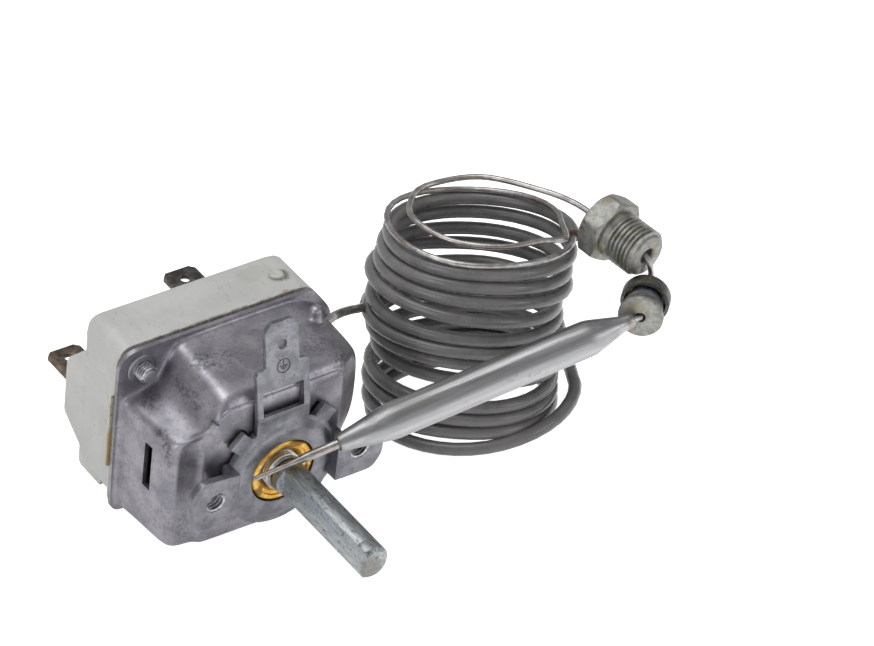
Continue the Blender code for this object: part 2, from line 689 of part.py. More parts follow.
def control_shaft():
    """The round shaft with its flat, its chamfered tip and the tang at its root."""
    length = SHAFT_ROOT - SHAFT_TIP
    groove = length - 0.0027
    profile = ((0.0, length), (SHAFT_RADIUS - SHAFT_CHAMFER, length),
               (SHAFT_RADIUS, length - SHAFT_CHAMFER), (SHAFT_RADIUS, groove + 0.0001),
               (SHAFT_RADIUS - 0.0001, groove), (SHAFT_RADIUS, groove - 0.0001),
               (SHAFT_RADIUS, 0.0), (TANG_RADIUS, 0.0), (TANG_RADIUS, -TANG_LENGTH),
               (0.0, -TANG_LENGTH))
    obj = turned("control_shaft", profile, SHAFT_STEEL, (0, SHAFT_ROOT, 0), (0, -1, 0), steps=36)
    cut(obj, box("shaft_flat", (-0.0060, SHAFT_TIP - 0.0010, -0.0050),
                 (-SHAFT_FLAT, SHAFT_FLAT_END, 0.0050)))
    return obj


def diaphragm_capsule():
    rim = CAPSULE_RADIUS
    full = CAPSULE_THICKNESS
    profile = ((0.0, full), (0.0030, full), (0.0045, full - 0.0005), (0.0080, full - 0.0006),
               (rim, full / 2 + 0.0003), (rim, full / 2 - 0.0003), (0.0080, 0.0006),
               (0.0045, 0.0005), (0.0030, 0.0), (0.0, 0.0))
    return turned("diaphragm_capsule", profile, CAPSULE_STEEL,
                  (0, CAPSULE_FRONT + CAPSULE_THICKNESS, 0), (0, -1, 0), steps=28)


def push_pin():
    length = PIN_REAR - PIN_FRONT
    tip = 0.0004
    profile = ((0.0, length), (PIN_RADIUS - tip, length), (PIN_RADIUS, length - tip),
               (PIN_RADIUS, tip), (PIN_RADIUS - tip, 0.0), (0.0, 0.0))
    return turned("push_pin", profile, CERAMIC, (0, PIN_REAR, 0), (0, -1, 0), steps=20)


def insulating_gasket():
    left, low, high = GASKET_TONGUE_X, *GASKET_TONGUE
    outline = rounded(
        [(GASKET_LEFT, GASKET_BOTTOM), (GASKET_RIGHT, GASKET_BOTTOM),
         (GASKET_RIGHT, GASKET_TOP), (GASKET_LEFT, GASKET_TOP),
         (GASKET_LEFT, high), (left, high), (left, low), (GASKET_LEFT, low)],
        (0.0020, 0.0030, 0.0075, 0.0030, 0.0001, 0.0002, 0.0002, 0.0001))
    holes = [circle(PIN_RADIUS + GAP, steps=20)]
    holes += [circle(SCREW_RADIUS + GAP, place, 20) for place in SCREW_PLACES]
    obj = plate("insulating_gasket", [outline] + holes, GASKET_Y, GASKET_SHEET)
    return finish(obj, "insulating_gasket", MICA, 30)


def ceramic_base():
    """The base: a front block with rounded edges and a stepped block behind it."""
    front = rounded([(BASE_LEFT, BASE_BOTTOM), (BASE_RIGHT, BASE_BOTTOM),
                     (BASE_RIGHT, BASE_TOP), (BASE_LEFT, BASE_TOP)],
                    (0.0020, 0.0020, 0.0040, 0.0024), 4)
    obj = plate("ceramic_base", [front], BASE_FRONT, BASE_REAR - BASE_FRONT)
    side = rounded([(BLOCK_FRONT, BASE_BOTTOM), (BASE_REAR + 0.0003, BASE_BOTTOM),
                    (BASE_REAR + 0.0003, -0.0091), (BLOCK_REAR, -0.0054),
                    (BLOCK_REAR, BLOCK_TOP / 2), (BASE_REAR, BLOCK_TOP), (BLOCK_FRONT, BLOCK_TOP)],
                   (0.0001, 0.0012, 0.0004, 0.0006, 0.0016, 0.0010, 0.0001), 4)
    width = BASE_RIGHT - BASE_LEFT
    block = plate("rear_block", [side], 0.0, width - 0.0002, cutters,
                  (math.radians(90), 0, math.radians(90)),
                  ((BASE_LEFT + BASE_RIGHT) / 2, 0, 0))
    join(obj, block)
    for x, z in SCREW_PLACES:
        join(obj, rod("boss", BOSS_RADIUS, (x, BASE_REAR - 0.0024, z), (x, BOSS_REAR, z), steps=24))
    cut(obj, box("pocket", (POCKET_LEFT, BASE_FRONT - 0.0020, POCKET_BOTTOM),
                 (POCKET_RIGHT, POCKET_REAR, POCKET_TOP)))
    half = BLADE_WIDTH / 2 + GAP
    thick = BLADE / 2 + GAP
    wide = BLADE_ROOT / 2 + GAP
    past = BLOCK_REAR + 0.0031
    cut(obj, box("terminal_1_slot", (TERMINAL_1.x - half, POCKET_REAR - 0.0014, TERMINAL_1.y - wide),
                 (TERMINAL_1.x + half, past, TERMINAL_1.y + wide)))
    neck = 0.0015 + GAP
    cut(obj, box("terminal_2_slot", (TERMINAL_2.x - neck, POCKET_REAR - 0.0014, TERMINAL_2.y - thick),
                 (TERMINAL_2.x + neck, past, TERMINAL_2.y + thick)))
    for x, z in SCREW_PLACES:
        cut(obj, rod("screw_way", SCREW_RADIUS + GAP, (x, RIM_Y, z), (x, past, z), steps=24))
        cut(obj, rod("head_seat", SCREW_HEAD_RADIUS + GAP, (x, SCREW_SEAT, z),
                     (x, past, z), steps=20))
    return finish(obj, "ceramic_base", CERAMIC, 35)


def corner_screws():
    """The two long screws, their heads behind the base and their tips through the casing."""
    seat = SCREW_SEAT + GAP
    shank = seat - SCREW_TIP
    pitch = 0.0007
    for number, (x, z) in enumerate(SCREW_PLACES, 1):
        profile = [(0.0, shank), (SCREW_RADIUS - 0.0004, shank)]
        for i in range(3):
            top = shank - 0.0003 - i * pitch
            profile.append((SCREW_RADIUS, top))
            profile.append((SCREW_RADIUS - 0.0003, top - pitch / 2))
        profile += [(SCREW_RADIUS - 0.0003, 0.0), (SCREW_HEAD_RADIUS, 0.0),
                    (SCREW_HEAD_RADIUS, -SCREW_HEAD * 0.6), (SCREW_HEAD_RADIUS * 0.7, -SCREW_HEAD),
                    (0.0, -SCREW_HEAD)]
        name = f"corner_screw_{number}"
        obj = turned(name, profile, SCREW_STEEL, (x, seat, z), (0, -1, 0), steps=20)
        cut(obj, box("screw_slot", (x - 0.0040, seat + SCREW_HEAD * 0.55, z - 0.0004),
                     (x + 0.0040, seat + SCREW_HEAD + 0.0010, z + 0.0004)))


def blade_outline(tip, root, half):
    """A push-on blade seen from above, with its corners taken off at the tip."""
    return [(-half, root), (half, root), (half, tip - BLADE_CORNER), (half - BLADE_CORNER, tip),
            (-half + BLADE_CORNER, tip), (-half, tip - BLADE_CORNER)]


def terminal_1():
    """The blade of terminal 1 with the foot that carries the fixed contact."""
    half = BLADE_WIDTH / 2
    root = FIXED_PLATE_Y
    hole = circle(BLADE_HOLE_RADIUS, (0, BLADE_TIP - TERMINAL_HOLE), 16)
    obj = plate("terminal_1", [blade_outline(BLADE_TIP, root, half), hole], 0.0, BLADE,
                rotation=(0, 0, 0), place=(TERMINAL_1.x, 0, TERMINAL_1.y))
    foot = box("foot", (TERMINAL_1.x - half + 0.0001, root, -0.0020),
               (TERMINAL_1.x + half - 0.0001, root + BLADE, TERMINAL_1.y))
    join(obj, foot)
    # The blade is coined a little thinner than its root, from the ceramic's rear on
    join(obj, box("root", (TERMINAL_1.x - half + 0.0001, root, TERMINAL_1.y - BLADE_ROOT / 2),
                  (TERMINAL_1.x + half - 0.0001, BLOCK_REAR + GAP,
                   TERMINAL_1.y + BLADE_ROOT / 2)))
    return finish(obj, "terminal_1", TERMINAL_1_METAL, 30)


def terminal_2():
    """The blade of terminal 2, narrower where it passes through the ceramic."""
    half = BLADE_WIDTH / 2
    root = BLOCK_REAR + GAP
    blade = blade_outline(BLADE_TIP, root, half)
    neck = [(-0.0015, root), (-0.0015, NECK_FRONT), (0.0015, NECK_FRONT), (0.0015, root)]
    outline = neck + blade[1:] + [blade[0]]
    hole = circle(BLADE_HOLE_RADIUS, (0, BLADE_TIP - TERMINAL_HOLE), 16)
    obj = plate("terminal_2", [outline, hole], 0.0, BLADE, rotation=(0, 0, 0),
                place=(TERMINAL_2.x, 0, TERMINAL_2.y))
    return finish(obj, "terminal_2", TERMINAL_2_METAL, 30)


def contacts():
    """The silver rivets on the fixed plate and on the spring."""
    plate_rear = FIXED_PLATE_Y + BLADE
    room = SPRING_Y - plate_rear
    height = (room - 3 * GAP) / 2
    for name, start in (("fixed_contact", plate_rear + GAP),
                        ("moving_contact", SPRING_Y - GAP - height)):
        obj = rod(name, CONTACT_RADIUS, (TERMINAL_1.x, start, 0),
                  (TERMINAL_1.x, start + height, 0), parts, 20)
        finish(obj, name, SILVER, 30)


def contact_spring():
    """The spring blade that carries the moving contact, its origin on its bending line."""
    length = TERMINAL_1.x + CONTACT_RADIUS + 0.0017 - HINGE_X
    outline = rounded([(0, -SPRING_HALF_HEIGHT), (length, -SPRING_HALF_HEIGHT),
                       (length, SPRING_HALF_HEIGHT), (0, SPRING_HALF_HEIGHT)], 0.0008, 3)
    obj = plate("contact_spring", [outline], 0.0, SPRING_SHEET,
                place=(HINGE_X, SPRING_Y + SPRING_SHEET / 2, 0))
    return finish(obj, "contact_spring", SPRING_BRONZE, 30)


def spring_carrier():
    """The bent strip between terminal 2 and the spring."""
    rear = NECK_FRONT - GAP
    front = SPRING_Y + SPRING_SHEET + GAP
    obj = box("spring_carrier", (TERMINAL_2.x - 0.0012, front, -SPRING_HALF_HEIGHT),
              (HINGE_X + 0.0012, rear, SPRING_HALF_HEIGHT), parts)
    return finish(obj, "spring_carrier", TERMINAL_2_METAL, 30)


def coil():
    """The sleeved coil and the bare turn on top of it, each as a closed ring."""
    slim = COIL_WIDE_HEIGHT + 0.0040
    body = ((COIL_OUTER, COIL_HEIGHT), (COIL_OUTER, slim), (COIL_WIDE, COIL_WIDE_HEIGHT),
            (COIL_WIDE, 0.0), (COIL_WIDE - COIL_WALL, 0.0),
            (COIL_WIDE - COIL_WALL, COIL_WIDE_HEIGHT), (COIL_OUTER - COIL_WALL, slim),
            (COIL_OUTER - COIL_WALL, COIL_HEIGHT))
    turned("sleeve_coil", body, SLEEVE, COIL_FOOT, COIL_AXIS, steps=40)
    turn_foot = COIL_FOOT + COIL_AXIS * (COIL_HEIGHT + GAP) + TURN_SHIFT
    wire = WIRE_RADIUS
    ring = [(TURN_RADIUS + wire * math.sin(a), wire + wire * math.cos(a))
            for a in [2 * math.pi * i / 6 for i in range(6)]]
    turned("capillary_turn", ring, CAPILLARY, turn_foot, COIL_AXIS, steps=40)


def gland_body():
    """The screwed gland: a chamfered hexagon and a threaded stem with a plain bore."""
    foot = GLAND_FRONT - GLAND_AXIS * (GLAND_THREAD + GLAND_HEX)
    full = GLAND_THREAD + GLAND_HEX
    pitch = 0.0010
    stem = [(0.0, full), (GLAND_THREAD_RADIUS - 0.0007, full)]
    for i in range(5):
        top = full - 0.0006 - i * pitch
        stem.append((GLAND_THREAD_RADIUS, top))
        stem.append((GLAND_THREAD_RADIUS - 0.0005, top - pitch * 0.5))
    stem += [(GLAND_THREAD_RADIUS, GLAND_HEX + 0.0013), (GLAND_THREAD_RADIUS, GLAND_HEX - 0.0003),
             (0.0, GLAND_HEX - 0.0003)]
    obj = turned("gland_body", stem, GLAND_ZINC, foot, GLAND_AXIS)
    hexagon = rod("hexagon", GLAND_HEX_RADIUS, foot, foot + GLAND_AXIS * GLAND_HEX, steps=6)
    chamfer = GLAND_HEX_RADIUS - 0.0009
    wide = GLAND_HEX_RADIUS + 0.0002
    rounding = ((0.0, GLAND_HEX), (chamfer, GLAND_HEX), (wide, GLAND_HEX - 0.0007),
                (wide, 0.0007), (chamfer, 0.0), (0.0, 0.0))
    lathe = turned("hex_chamfer", rounding, GLAND_ZINC, foot, GLAND_AXIS, cutters)
    combine(hexagon, lathe, "INTERSECT")
    join(obj, hexagon)
    cut(obj, rod("gland_bore", GLAND_BORE_RADIUS, foot - GLAND_AXIS * 0.002,
                 GLAND_FRONT + GLAND_AXIS * 0.002, steps=24))
    return obj


def stacked_on_capillary():
    """The flat washer, the seal and the cup washer, in the order in which they are threaded on."""
    hole = WASHER_HOLE_RADIUS
    flat = ((WASHER_RADIUS, FLAT_WASHER), (WASHER_RADIUS, 0.0), (hole, 0.0), (hole, FLAT_WASHER))
    turned("gland_flat_washer", flat, GLAND_ZINC, STACK_FRONT, STACK_AXIS, steps=28)
    seal_foot = STACK_FRONT + STACK_AXIS * (FLAT_WASHER + GAP)
    seal = ((0.0024, SEAL_LENGTH), (0.0030, SEAL_LENGTH - 0.0008), (0.0034, 0.0006),
            (0.0032, 0.0), (hole, 0.0), (hole, SEAL_LENGTH))
    turned("gland_seal", seal, SEAL_RUBBER, seal_foot, STACK_AXIS, steps=8)
    cup_foot = seal_foot + STACK_AXIS * (SEAL_LENGTH + GAP + CUP_WALL - CUP_LENGTH)
    inner = WASHER_RADIUS - CUP_WALL + 0.0003
    cup = ((WASHER_RADIUS - 0.0003, CUP_LENGTH), (WASHER_RADIUS + 0.0003, CUP_LENGTH - 0.0006),
           (WASHER_RADIUS + 0.0003, 0.0), (inner, 0.0), (inner, CUP_LENGTH - CUP_WALL),
           (hole, CUP_LENGTH - CUP_WALL), (hole, CUP_LENGTH))
    turned("gland_cup_washer", cup, GLAND_ZINC, cup_foot, STACK_AXIS, steps=28)


def sensor_bulb():
    """The bulb with its tapered nose, and the thin closed filling tube in the nose."""
    seat = FILL_TUBE_RADIUS + GAP
    wire_seat = WIRE_RADIUS + GAP
    seat_end = BULB_NECK_END - 0.0012
    body = ((0.0, seat_end), (wire_seat, seat_end), (wire_seat, BULB_NECK_END),
            (BULB_NECK_RADIUS - 0.0001, BULB_NECK_END), (BULB_NECK_RADIUS, BULB_END + 0.0003),
            (BULB_END_RADIUS, BULB_END), (BULB_RADIUS - 0.0002, BULB_STRAIGHT_END + 0.0006),
            (BULB_RADIUS, BULB_STRAIGHT_END), (BULB_RADIUS, BULB_NOSE),
            (BULB_RADIUS - 0.0002, BULB_NOSE - 0.0008),
            (BULB_NOSE_RADIUS, 0.0), (seat, 0.0), (seat, FILL_TUBE_SEAT + GAP),
            (0.0, FILL_TUBE_SEAT + GAP))
    turned("sensor_bulb", body, BULB_NICKEL, BULB_START, BULB_AXIS, steps=28)
    foot = BULB_START - BULB_AXIS * FILL_TUBE_LENGTH
    length = FILL_TUBE_LENGTH + FILL_TUBE_SEAT
    thin = ((0.0, length), (FILL_TUBE_RADIUS, length), (FILL_TUBE_RADIUS, 0.0095),
            (FILL_TUBE_TIP_RADIUS, 0.0060), (FILL_TUBE_TIP_RADIUS, 0.0004), (0.0002, 0.0),
            (0.0, 0.0))
    turned("bulb_filling_tube", thin, BULB_NICKEL, foot, BULB_AXIS, steps=20)


front_casing()
casing_stud()
mounting_bracket()
brass_bush()
adjusting_spindle()
control_shaft()
diaphragm_capsule()
push_pin()
insulating_gasket()
ceramic_base()
corner_screws()
terminal_1()
terminal_2()
contacts()
contact_spring()
spring_carrier()
tube("capillary_lead", LEAD_ROUTE, LEAD_RADIUS, CAPILLARY, 0.0022)
coil()
tube("capillary_tail", TAIL_ROUTE, WIRE_RADIUS, CAPILLARY, 0.0026)
gland_body()
stacked_on_capillary()
sensor_bulb()
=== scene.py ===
"""Looks of the capillary thermostat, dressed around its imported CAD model.

Units are metres in the frame of the part: +X right, +Y back from the panel, +Z up. Textures are
laid out in millimetres of the same frame. Colours are written as they look, from 0 to 255.
"""

import math

import bmesh
import bpy
from mathutils import Matrix, Vector


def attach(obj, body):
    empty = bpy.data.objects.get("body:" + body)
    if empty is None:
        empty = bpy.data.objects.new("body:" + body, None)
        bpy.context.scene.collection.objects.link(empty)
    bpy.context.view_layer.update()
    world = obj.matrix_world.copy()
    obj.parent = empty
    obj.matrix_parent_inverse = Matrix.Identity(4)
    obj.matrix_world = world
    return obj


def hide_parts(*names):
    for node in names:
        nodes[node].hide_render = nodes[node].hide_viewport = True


MM = 0.001

# Camera, as the photograph was taken
CAMERA_PLACE = (-0.30277, -0.388185, 0.416434)
CAMERA_TURN = (51.956, -6.0893, -35.579)
CAMERA_LENS = 164.76

# The surface that the thermostat lies on: it leans on its casing's lower edges
FLOOR_NORMAL = Vector((0.0, 0.18, 0.98)).normalized()
FLOOR_LEVEL = -0.01095

# The sleeved coil stands on this foot, along this axis
COIL_FOOT = Vector((0.0456, 0.0108, -0.0107))
COIL_AXIS = Vector((0.034, 0.216, 0.976)).normalized()
COIL_SIDE = Vector((0.8085, -0.5799, 0.1002)).normalized()
COIL_BACK = COIL_AXIS.cross(COIL_SIDE)
COIL_WAYS = (COIL_SIDE, COIL_BACK, -COIL_SIDE, -COIL_BACK)
SLEEVE_RADIUS = 0.00115
WIRE_RADIUS = 0.0005

# One row a turn, from the top down, in mm: how far the turn stands off the axis and how high it is,
# to the right, at the back, to the left and in front
SLEEVED_TURNS = (
    ((17.0, 31.9), (15.5, 31.6), (13.8, 32.8), (15.4, 32.2)),
    ((16.6, 29.3), (15.6, 29.0), (14.8, 30.4), (15.7, 30.0)),
    ((15.9, 26.0), (15.7, 25.8), (15.4, 28.0), (15.8, 27.4)),
    ((16.0, 23.2), (16.0, 22.8), (16.8, 26.0), (16.0, 24.1)),
    ((14.3, 19.8), (15.6, 19.6), (16.7, 21.3), (15.7, 20.3)),
    ((14.5, 17.5), (15.8, 17.2), (17.4, 18.7), (16.1, 18.1)),
    ((14.9, 14.7), (15.6, 14.4), (16.7, 16.0), (15.7, 15.8)),
    ((14.4, 11.6), (15.2, 11.2), (15.9, 12.7), (15.2, 12.5)),
    ((13.9, 8.7), (15.3, 8.2), (17.0, 8.9), (15.4, 7.6)),
    ((13.8, 6.2), (15.4, 5.7), (17.4, 6.2), (15.6, 5.3)),
    ((13.8, 3.8), (15.5, 3.2), (17.4, 2.6), (15.6, 2.9)),
    ((13.8, 1.5), (15.6, 0.9), (16.9, 0.2), (16.4, 0.3)),
)
# The way from the lowest turn up to the lead, in mm to the right, back and up along the coil
UP_TO_THE_LEAD = (
    (17.8, 0.0, 4.0), (16.3, 9.0, 4.2), (11.5, 15.2, 5.2), (4.0, 18.6, 7.2), (-4.0, 18.5, 10.4),
    (-11.0, 15.4, 13.6), (-15.6, 10.0, 16.2), (-17.4, 5.0, 17.6), (-17.5, 1.5, 18.1),
)
LEAD_END = Vector((0.0323, 0.0256, 0.0053))

# Front casing: the half width of its flange and its wall, and the corners of its drawn shape
RIM_Y = 0.0200
RIM_HALF_WIDTH = 0.0207
RIM_TOP = 0.0183
RIM_BOTTOM = -0.0148
SHEET = 0.0008
WALL_LEFT = -0.0195
WALL_RIGHT = 0.0201
WALL_TOP = 0.0172
WALL_BOTTOM = -0.0136
FACE_Y = 0.0036
FACE_LEFT = -0.0139
FACE_RIGHT = 0.0117
FACE_TOP = 0.0147
FACE_BOTTOM = -0.0118
BUSH_RADIUS = 0.00595
CORNER_SCREW = (-0.0162, 0.0142)
LEAD_EXIT = (Vector((0.0195, 0.0176, 0.0134)), Vector((0.963, 0.265, -0.036)))

# Bracket: its ears' tapped holes, and its arm, which leans back
EAR_X = 0.0140
ARM_PLACE = Vector((-0.0006, 0.00255, 0.0118))
ARM_LEAN = math.radians(10.6)
ARM_SHEET = 0.0009

# Gland, the stack of washers in front of it, and the bulb, each with its foot and axis
GLAND_FRONT = Vector((0.0645, -0.0062, 0.0259))
GLAND_AXIS = Vector((0.15, -0.99, -0.05)).normalized()
GLAND_LENGTH = 0.0113
GLAND_FOOT = GLAND_FRONT - GLAND_AXIS * GLAND_LENGTH
STACK_FRONT = Vector((0.0587, -0.0130, 0.0200))
STACK_AXIS = Vector((0.738, 0.671, -0.057)).normalized()
BULB_START = Vector((0.00687, -0.00308, 0.00641))
BULB_AXIS = Vector((0.949, -0.182, 0.254)).normalized()
FORWARD = Vector((0, -1, 0))

# The bare capillary's first turn above the sleeve, in the same terms, then its route in the frame
BARE_TURN = ((17.0, 31.9), (15.7, 33.9), (14.2, 35.4), (15.4, 33.2), (14.9, 34.4))
BARE_ROUTE = (
    (0.0550, 0.0038, 0.0262), (0.0511, 0.0045, 0.0267), (0.0438, 0.0069, 0.0263),
    (0.0380, 0.0129, 0.0257), (0.0364, 0.0205, 0.0253), (0.0386, 0.0250, 0.0251),
    (0.0440, 0.0281, 0.0247), (0.0530, 0.0250, 0.0256), (0.0584, 0.0157, 0.0272),
    (0.0616, 0.0098, 0.0271), (0.0628, 0.0051, 0.0265), (0.0637, -0.0006, 0.0262),
    (0.0643, -0.0048, 0.0261), (0.0645, -0.0062, 0.0256), (0.0648, -0.0070, 0.0243),
    (0.0651, -0.0071, 0.0227), (0.0655, -0.0069, 0.0212), (0.0652, -0.0071, 0.0201),
    (0.0642, -0.0080, 0.0196), (0.0616, -0.0103, 0.0198), (0.0587, -0.0130, 0.0200),
    (0.0565, -0.0127, 0.0197),
)

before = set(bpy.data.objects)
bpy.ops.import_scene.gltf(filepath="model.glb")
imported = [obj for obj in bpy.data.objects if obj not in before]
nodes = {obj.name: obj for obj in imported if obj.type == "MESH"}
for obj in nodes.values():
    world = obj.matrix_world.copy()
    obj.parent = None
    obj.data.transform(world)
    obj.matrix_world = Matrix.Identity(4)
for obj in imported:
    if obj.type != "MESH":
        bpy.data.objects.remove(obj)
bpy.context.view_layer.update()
scene = bpy.context.scene
scene.view_settings.view_transform = "Standard"


def put(name, data):
    """A new object with this data, in the scene."""
    obj = bpy.data.objects.new(name, data)
    scene.collection.objects.link(obj)
    return obj


def mesh_from(bm, name):
    mesh = bpy.data.meshes.new(name)
    bm.to_mesh(mesh)
    bm.free()
    return mesh


def shade(red, green, bluish_reflection):
    """A colour as it looks on a screen, from 0 to 255, in Blender's own terms."""
    channels = []
    for value in (red, green, bluish_reflection):
        value /= 255
        channels.append(value / 12.92 if value <= 0.04045 else ((value + 0.055) / 1.055) ** 2.4)
    return (*channels, 1.0)


class Look:
    """A node material in the making: one Principled shader, and the nodes that feed it."""

    def __init__(self, name, metallic=0.0, roughness=0.5):
        self.material = bpy.data.materials.new(name)
        self.material.use_nodes = True
        self.tree = self.material.node_tree
        self.shader = self.tree.nodes["Principled BSDF"]
        self.shader.inputs["Metallic"].default_value = metallic
        self.shader.inputs["Roughness"].default_value = roughness
        place = self.tree.nodes.new("ShaderNodeTexCoord")
        self.place = self.maths("SCALE", place.outputs["Object"], scale=1 / MM)

    def give(self, socket, value):
        """Link another node's output to a socket, or set the socket's own value."""
        if isinstance(value, bpy.types.NodeSocket):
            self.tree.links.new(value, socket)
        else:
            socket.default_value = value

    def maths(self, operation, a, b=None, scale=None):
        node = self.tree.nodes.new("ShaderNodeVectorMath")
        node.operation = operation
        self.give(node.inputs[0], a)
        if b is not None:
            self.give(node.inputs[1], b)
        if scale is not None:
            node.inputs["Scale"].default_value = scale
        single = operation in ("LENGTH", "DOT_PRODUCT")
        return node.outputs["Value" if single else "Vector"]

    def number(self, operation, a, b):
        node = self.tree.nodes.new("ShaderNodeMath")
        node.operation = operation
        self.give(node.inputs[0], a)
        self.give(node.inputs[1], b)
        return node.outputs[0]

    def drawn_out(self, axis, share):
        """The place with its way along an axis shortened by a share, so that noise runs along it."""
        along = self.number("MULTIPLY", self.maths("DOT_PRODUCT", self.place, tuple(axis)), -share)
        node = self.tree.nodes.new("ShaderNodeVectorMath")
        node.operation = "MULTIPLY_ADD"
        self.give(node.inputs[0], along)
        self.give(node.inputs[1], tuple(axis))
        self.give(node.inputs[2], self.place)
        return node.outputs["Vector"]

    def noise(self, scale, detail=3.0, stretch=(1, 1, 1), shift=0.0):
        """Noise from 0 to 1, with scale features a millimetre, drawn out along an axis."""
        node = self.tree.nodes.new("ShaderNodeTexNoise")
        moved = self.maths("MULTIPLY_ADD", self.place, stretch)
        moved.node.inputs[2].default_value = (shift, shift, shift)
        self.give(node.inputs["Vector"], moved)
        node.inputs["Scale"].default_value = scale
        node.inputs["Detail"].default_value = detail
        node.inputs["Roughness"].default_value = 0.6
        return node.outputs[0]

    def grains(self, scale, shift=0.0):
        """The distance to the nearest of scattered points, for specks and pits."""
        node = self.tree.nodes.new("ShaderNodeTexVoronoi")
        moved = self.maths("ADD", self.place, (shift, shift, shift))
        self.give(node.inputs["Vector"], moved)
        node.inputs["Scale"].default_value = scale
        return node.outputs["Distance"]

    def between(self, value, low, high):
        """0 below low and 1 above high, smooth between them. Low may be the larger."""
        node = self.tree.nodes.new("ShaderNodeMapRange")
        node.interpolation_type = "SMOOTHSTEP"
        self.give(node.inputs["Value"], value)
        node.inputs["From Min"].default_value = low
        node.inputs["From Max"].default_value = high
        return node.outputs[0]

    def spot(self, centre, reach, ragged=0.35, scale=0.9):
        """1 inside an ellipsoid round a point in mm, with a ragged edge, and 0 outside."""
        away = self.maths("SUBTRACT", self.place, centre)
        away = self.maths("DIVIDE", away, reach)
        length = self.maths("LENGTH", away)
        rough = self.number("MULTIPLY", self.noise(scale, 4.0, shift=centre[0]), ragged * 2)
        return self.between(self.number("ADD", length, rough), 1.0 + ragged, 0.55 + ragged)

    def both(self, a, b):
        """Two shares at once, or a share and its weight."""
        return self.number("MULTIPLY", a, b)

    def mixed(self, share, below, above):
        """The colour below where share is 0 and the colour above where it is 1."""
        node = self.tree.nodes.new("ShaderNodeMix")
        node.data_type = "RGBA"
        self.give(node.inputs[0], share)
        self.give(node.inputs[6], below)
        self.give(node.inputs[7], above)
        return node.outputs[2]

    def stained(self, base, share, weight, tint):
        """The colour so far, with up to a weight of a tint over it where share is 1."""
        return self.mixed(self.both(share, weight), base, tint)

    def colour(self, value):
        self.give(self.shader.inputs["Base Color"], value)

    def roughness(self, share, low, high):
        node = self.tree.nodes.new("ShaderNodeMapRange")
        self.give(node.inputs["Value"], share)
        node.inputs["To Min"].default_value = low
        node.inputs["To Max"].default_value = high
        self.give(self.shader.inputs["Roughness"], node.outputs[0])

    def bump(self, height, depth):
        """Raise the surface by up to depth millimetres where height is 1."""
        node = self.tree.nodes.new("ShaderNodeBump")
        node.inputs["Strength"].default_value = 1.0
        node.inputs["Distance"].default_value = depth * MM
        self.give(node.inputs["Height"], height)
        self.give(self.shader.inputs["Normal"], node.outputs[0])


def zinc_plate():
    """Dull zinc plate: mottled grey with a violet cast, dark smudges, painted shade in the upper
    left valley, fine pits.
    """
    look = Look("dull_zinc_plate", 0.9, 0.42)
    cloud = look.noise(0.22, 5.0)
    mottle = look.noise(1.7, 6.0, shift=7.0)
    base = look.mixed(look.between(cloud, 0.35, 0.66), shade(146, 144, 152), shade(176, 174, 180))
    base = look.stained(base, look.between(mottle, 0.50, 0.72), 0.55, shade(112, 110, 120))
    smudges_and_valley_shade = (
        ((-8.4, 14.5, 16.9), (2.6, 2.4, 2.4), 0.62), ((-5.6, 13.0, 17.0), (4.2, 2.6, 2.0), 0.36),
        ((-18.4, 10.0, 9.0), (1.6, 2.0, 1.4), 0.62), ((-19.1, 7.7, 7.6), (1.6, 1.6, 1.6), 0.70),
        ((-18.9, 7.2, 5.6), (1.0, 1.2, 1.6), 0.45), ((-16.6, 16.6, 10.0), (2.2, 2.4, 1.6), 0.5),
        ((12.2, 4.8, 15.6), (2.6, 2.6, 1.6), 0.55), ((10.0, 10.0, 17.0), (5.0, 3.6, 1.6), 0.34),
        # The patch at (-12.3, 12.5, 12.8), drawn out along the depth of the dished upper left wall,
        # is painted shade; the other patches are smudges.
        ((-12.3, 12.5, 12.8), (1.4, 5.6, 1.9), 0.5), ((14.6, 8.0, 6.0), (3.0, 4.0, 5.0), 0.3),
        ((-16.0, 7.0, -8.0), (4.0, 4.0, 4.0), 0.3),
    )
    broken = look.between(look.noise(1.5, 6.0, shift=27.0), 0.42, 0.58)
    for centre, reach, weight in smudges_and_valley_shade:
        darkening = look.both(look.spot(centre, reach, 0.6), broken)
        base = look.stained(base, darkening, weight, shade(84, 83, 90))
    look.colour(base)
    look.roughness(mottle, 0.34, 0.52)
    pits = look.grains(1.3, 11.0)
    worn = look.number("ADD", look.both(look.between(pits, 0.16, 0.05), -0.5),
                       look.both(look.noise(4.0, 5.0), 0.35))
    look.bump(worn, 0.04)
    return look.material


def bracket_plate():
    """The bracket's brighter zinc, with dark streaks and a grained surface."""
    look = Look("bracket_zinc_plate", 0.88, 0.40)
    cloud = look.noise(0.35, 5.0, shift=4.0)
    base = look.mixed(look.between(cloud, 0.36, 0.64), shade(120, 121, 127), shade(148, 148, 154))
    streaks = look.between(look.noise(1.4, 5.0, (0.6, 1.0, 2.2), 9.0), 0.54, 0.70)
    base = look.stained(base, streaks, 0.55, shade(104, 104, 110))
    specks = look.between(look.grains(0.95, 3.0), 0.17, 0.07)
    base = look.stained(base, specks, 0.65, shade(60, 58, 60))
    look.colour(base)
    look.roughness(cloud, 0.32, 0.50)
    look.bump(look.noise(2.2, 5.0, shift=6.0), 0.03)
    return look.material


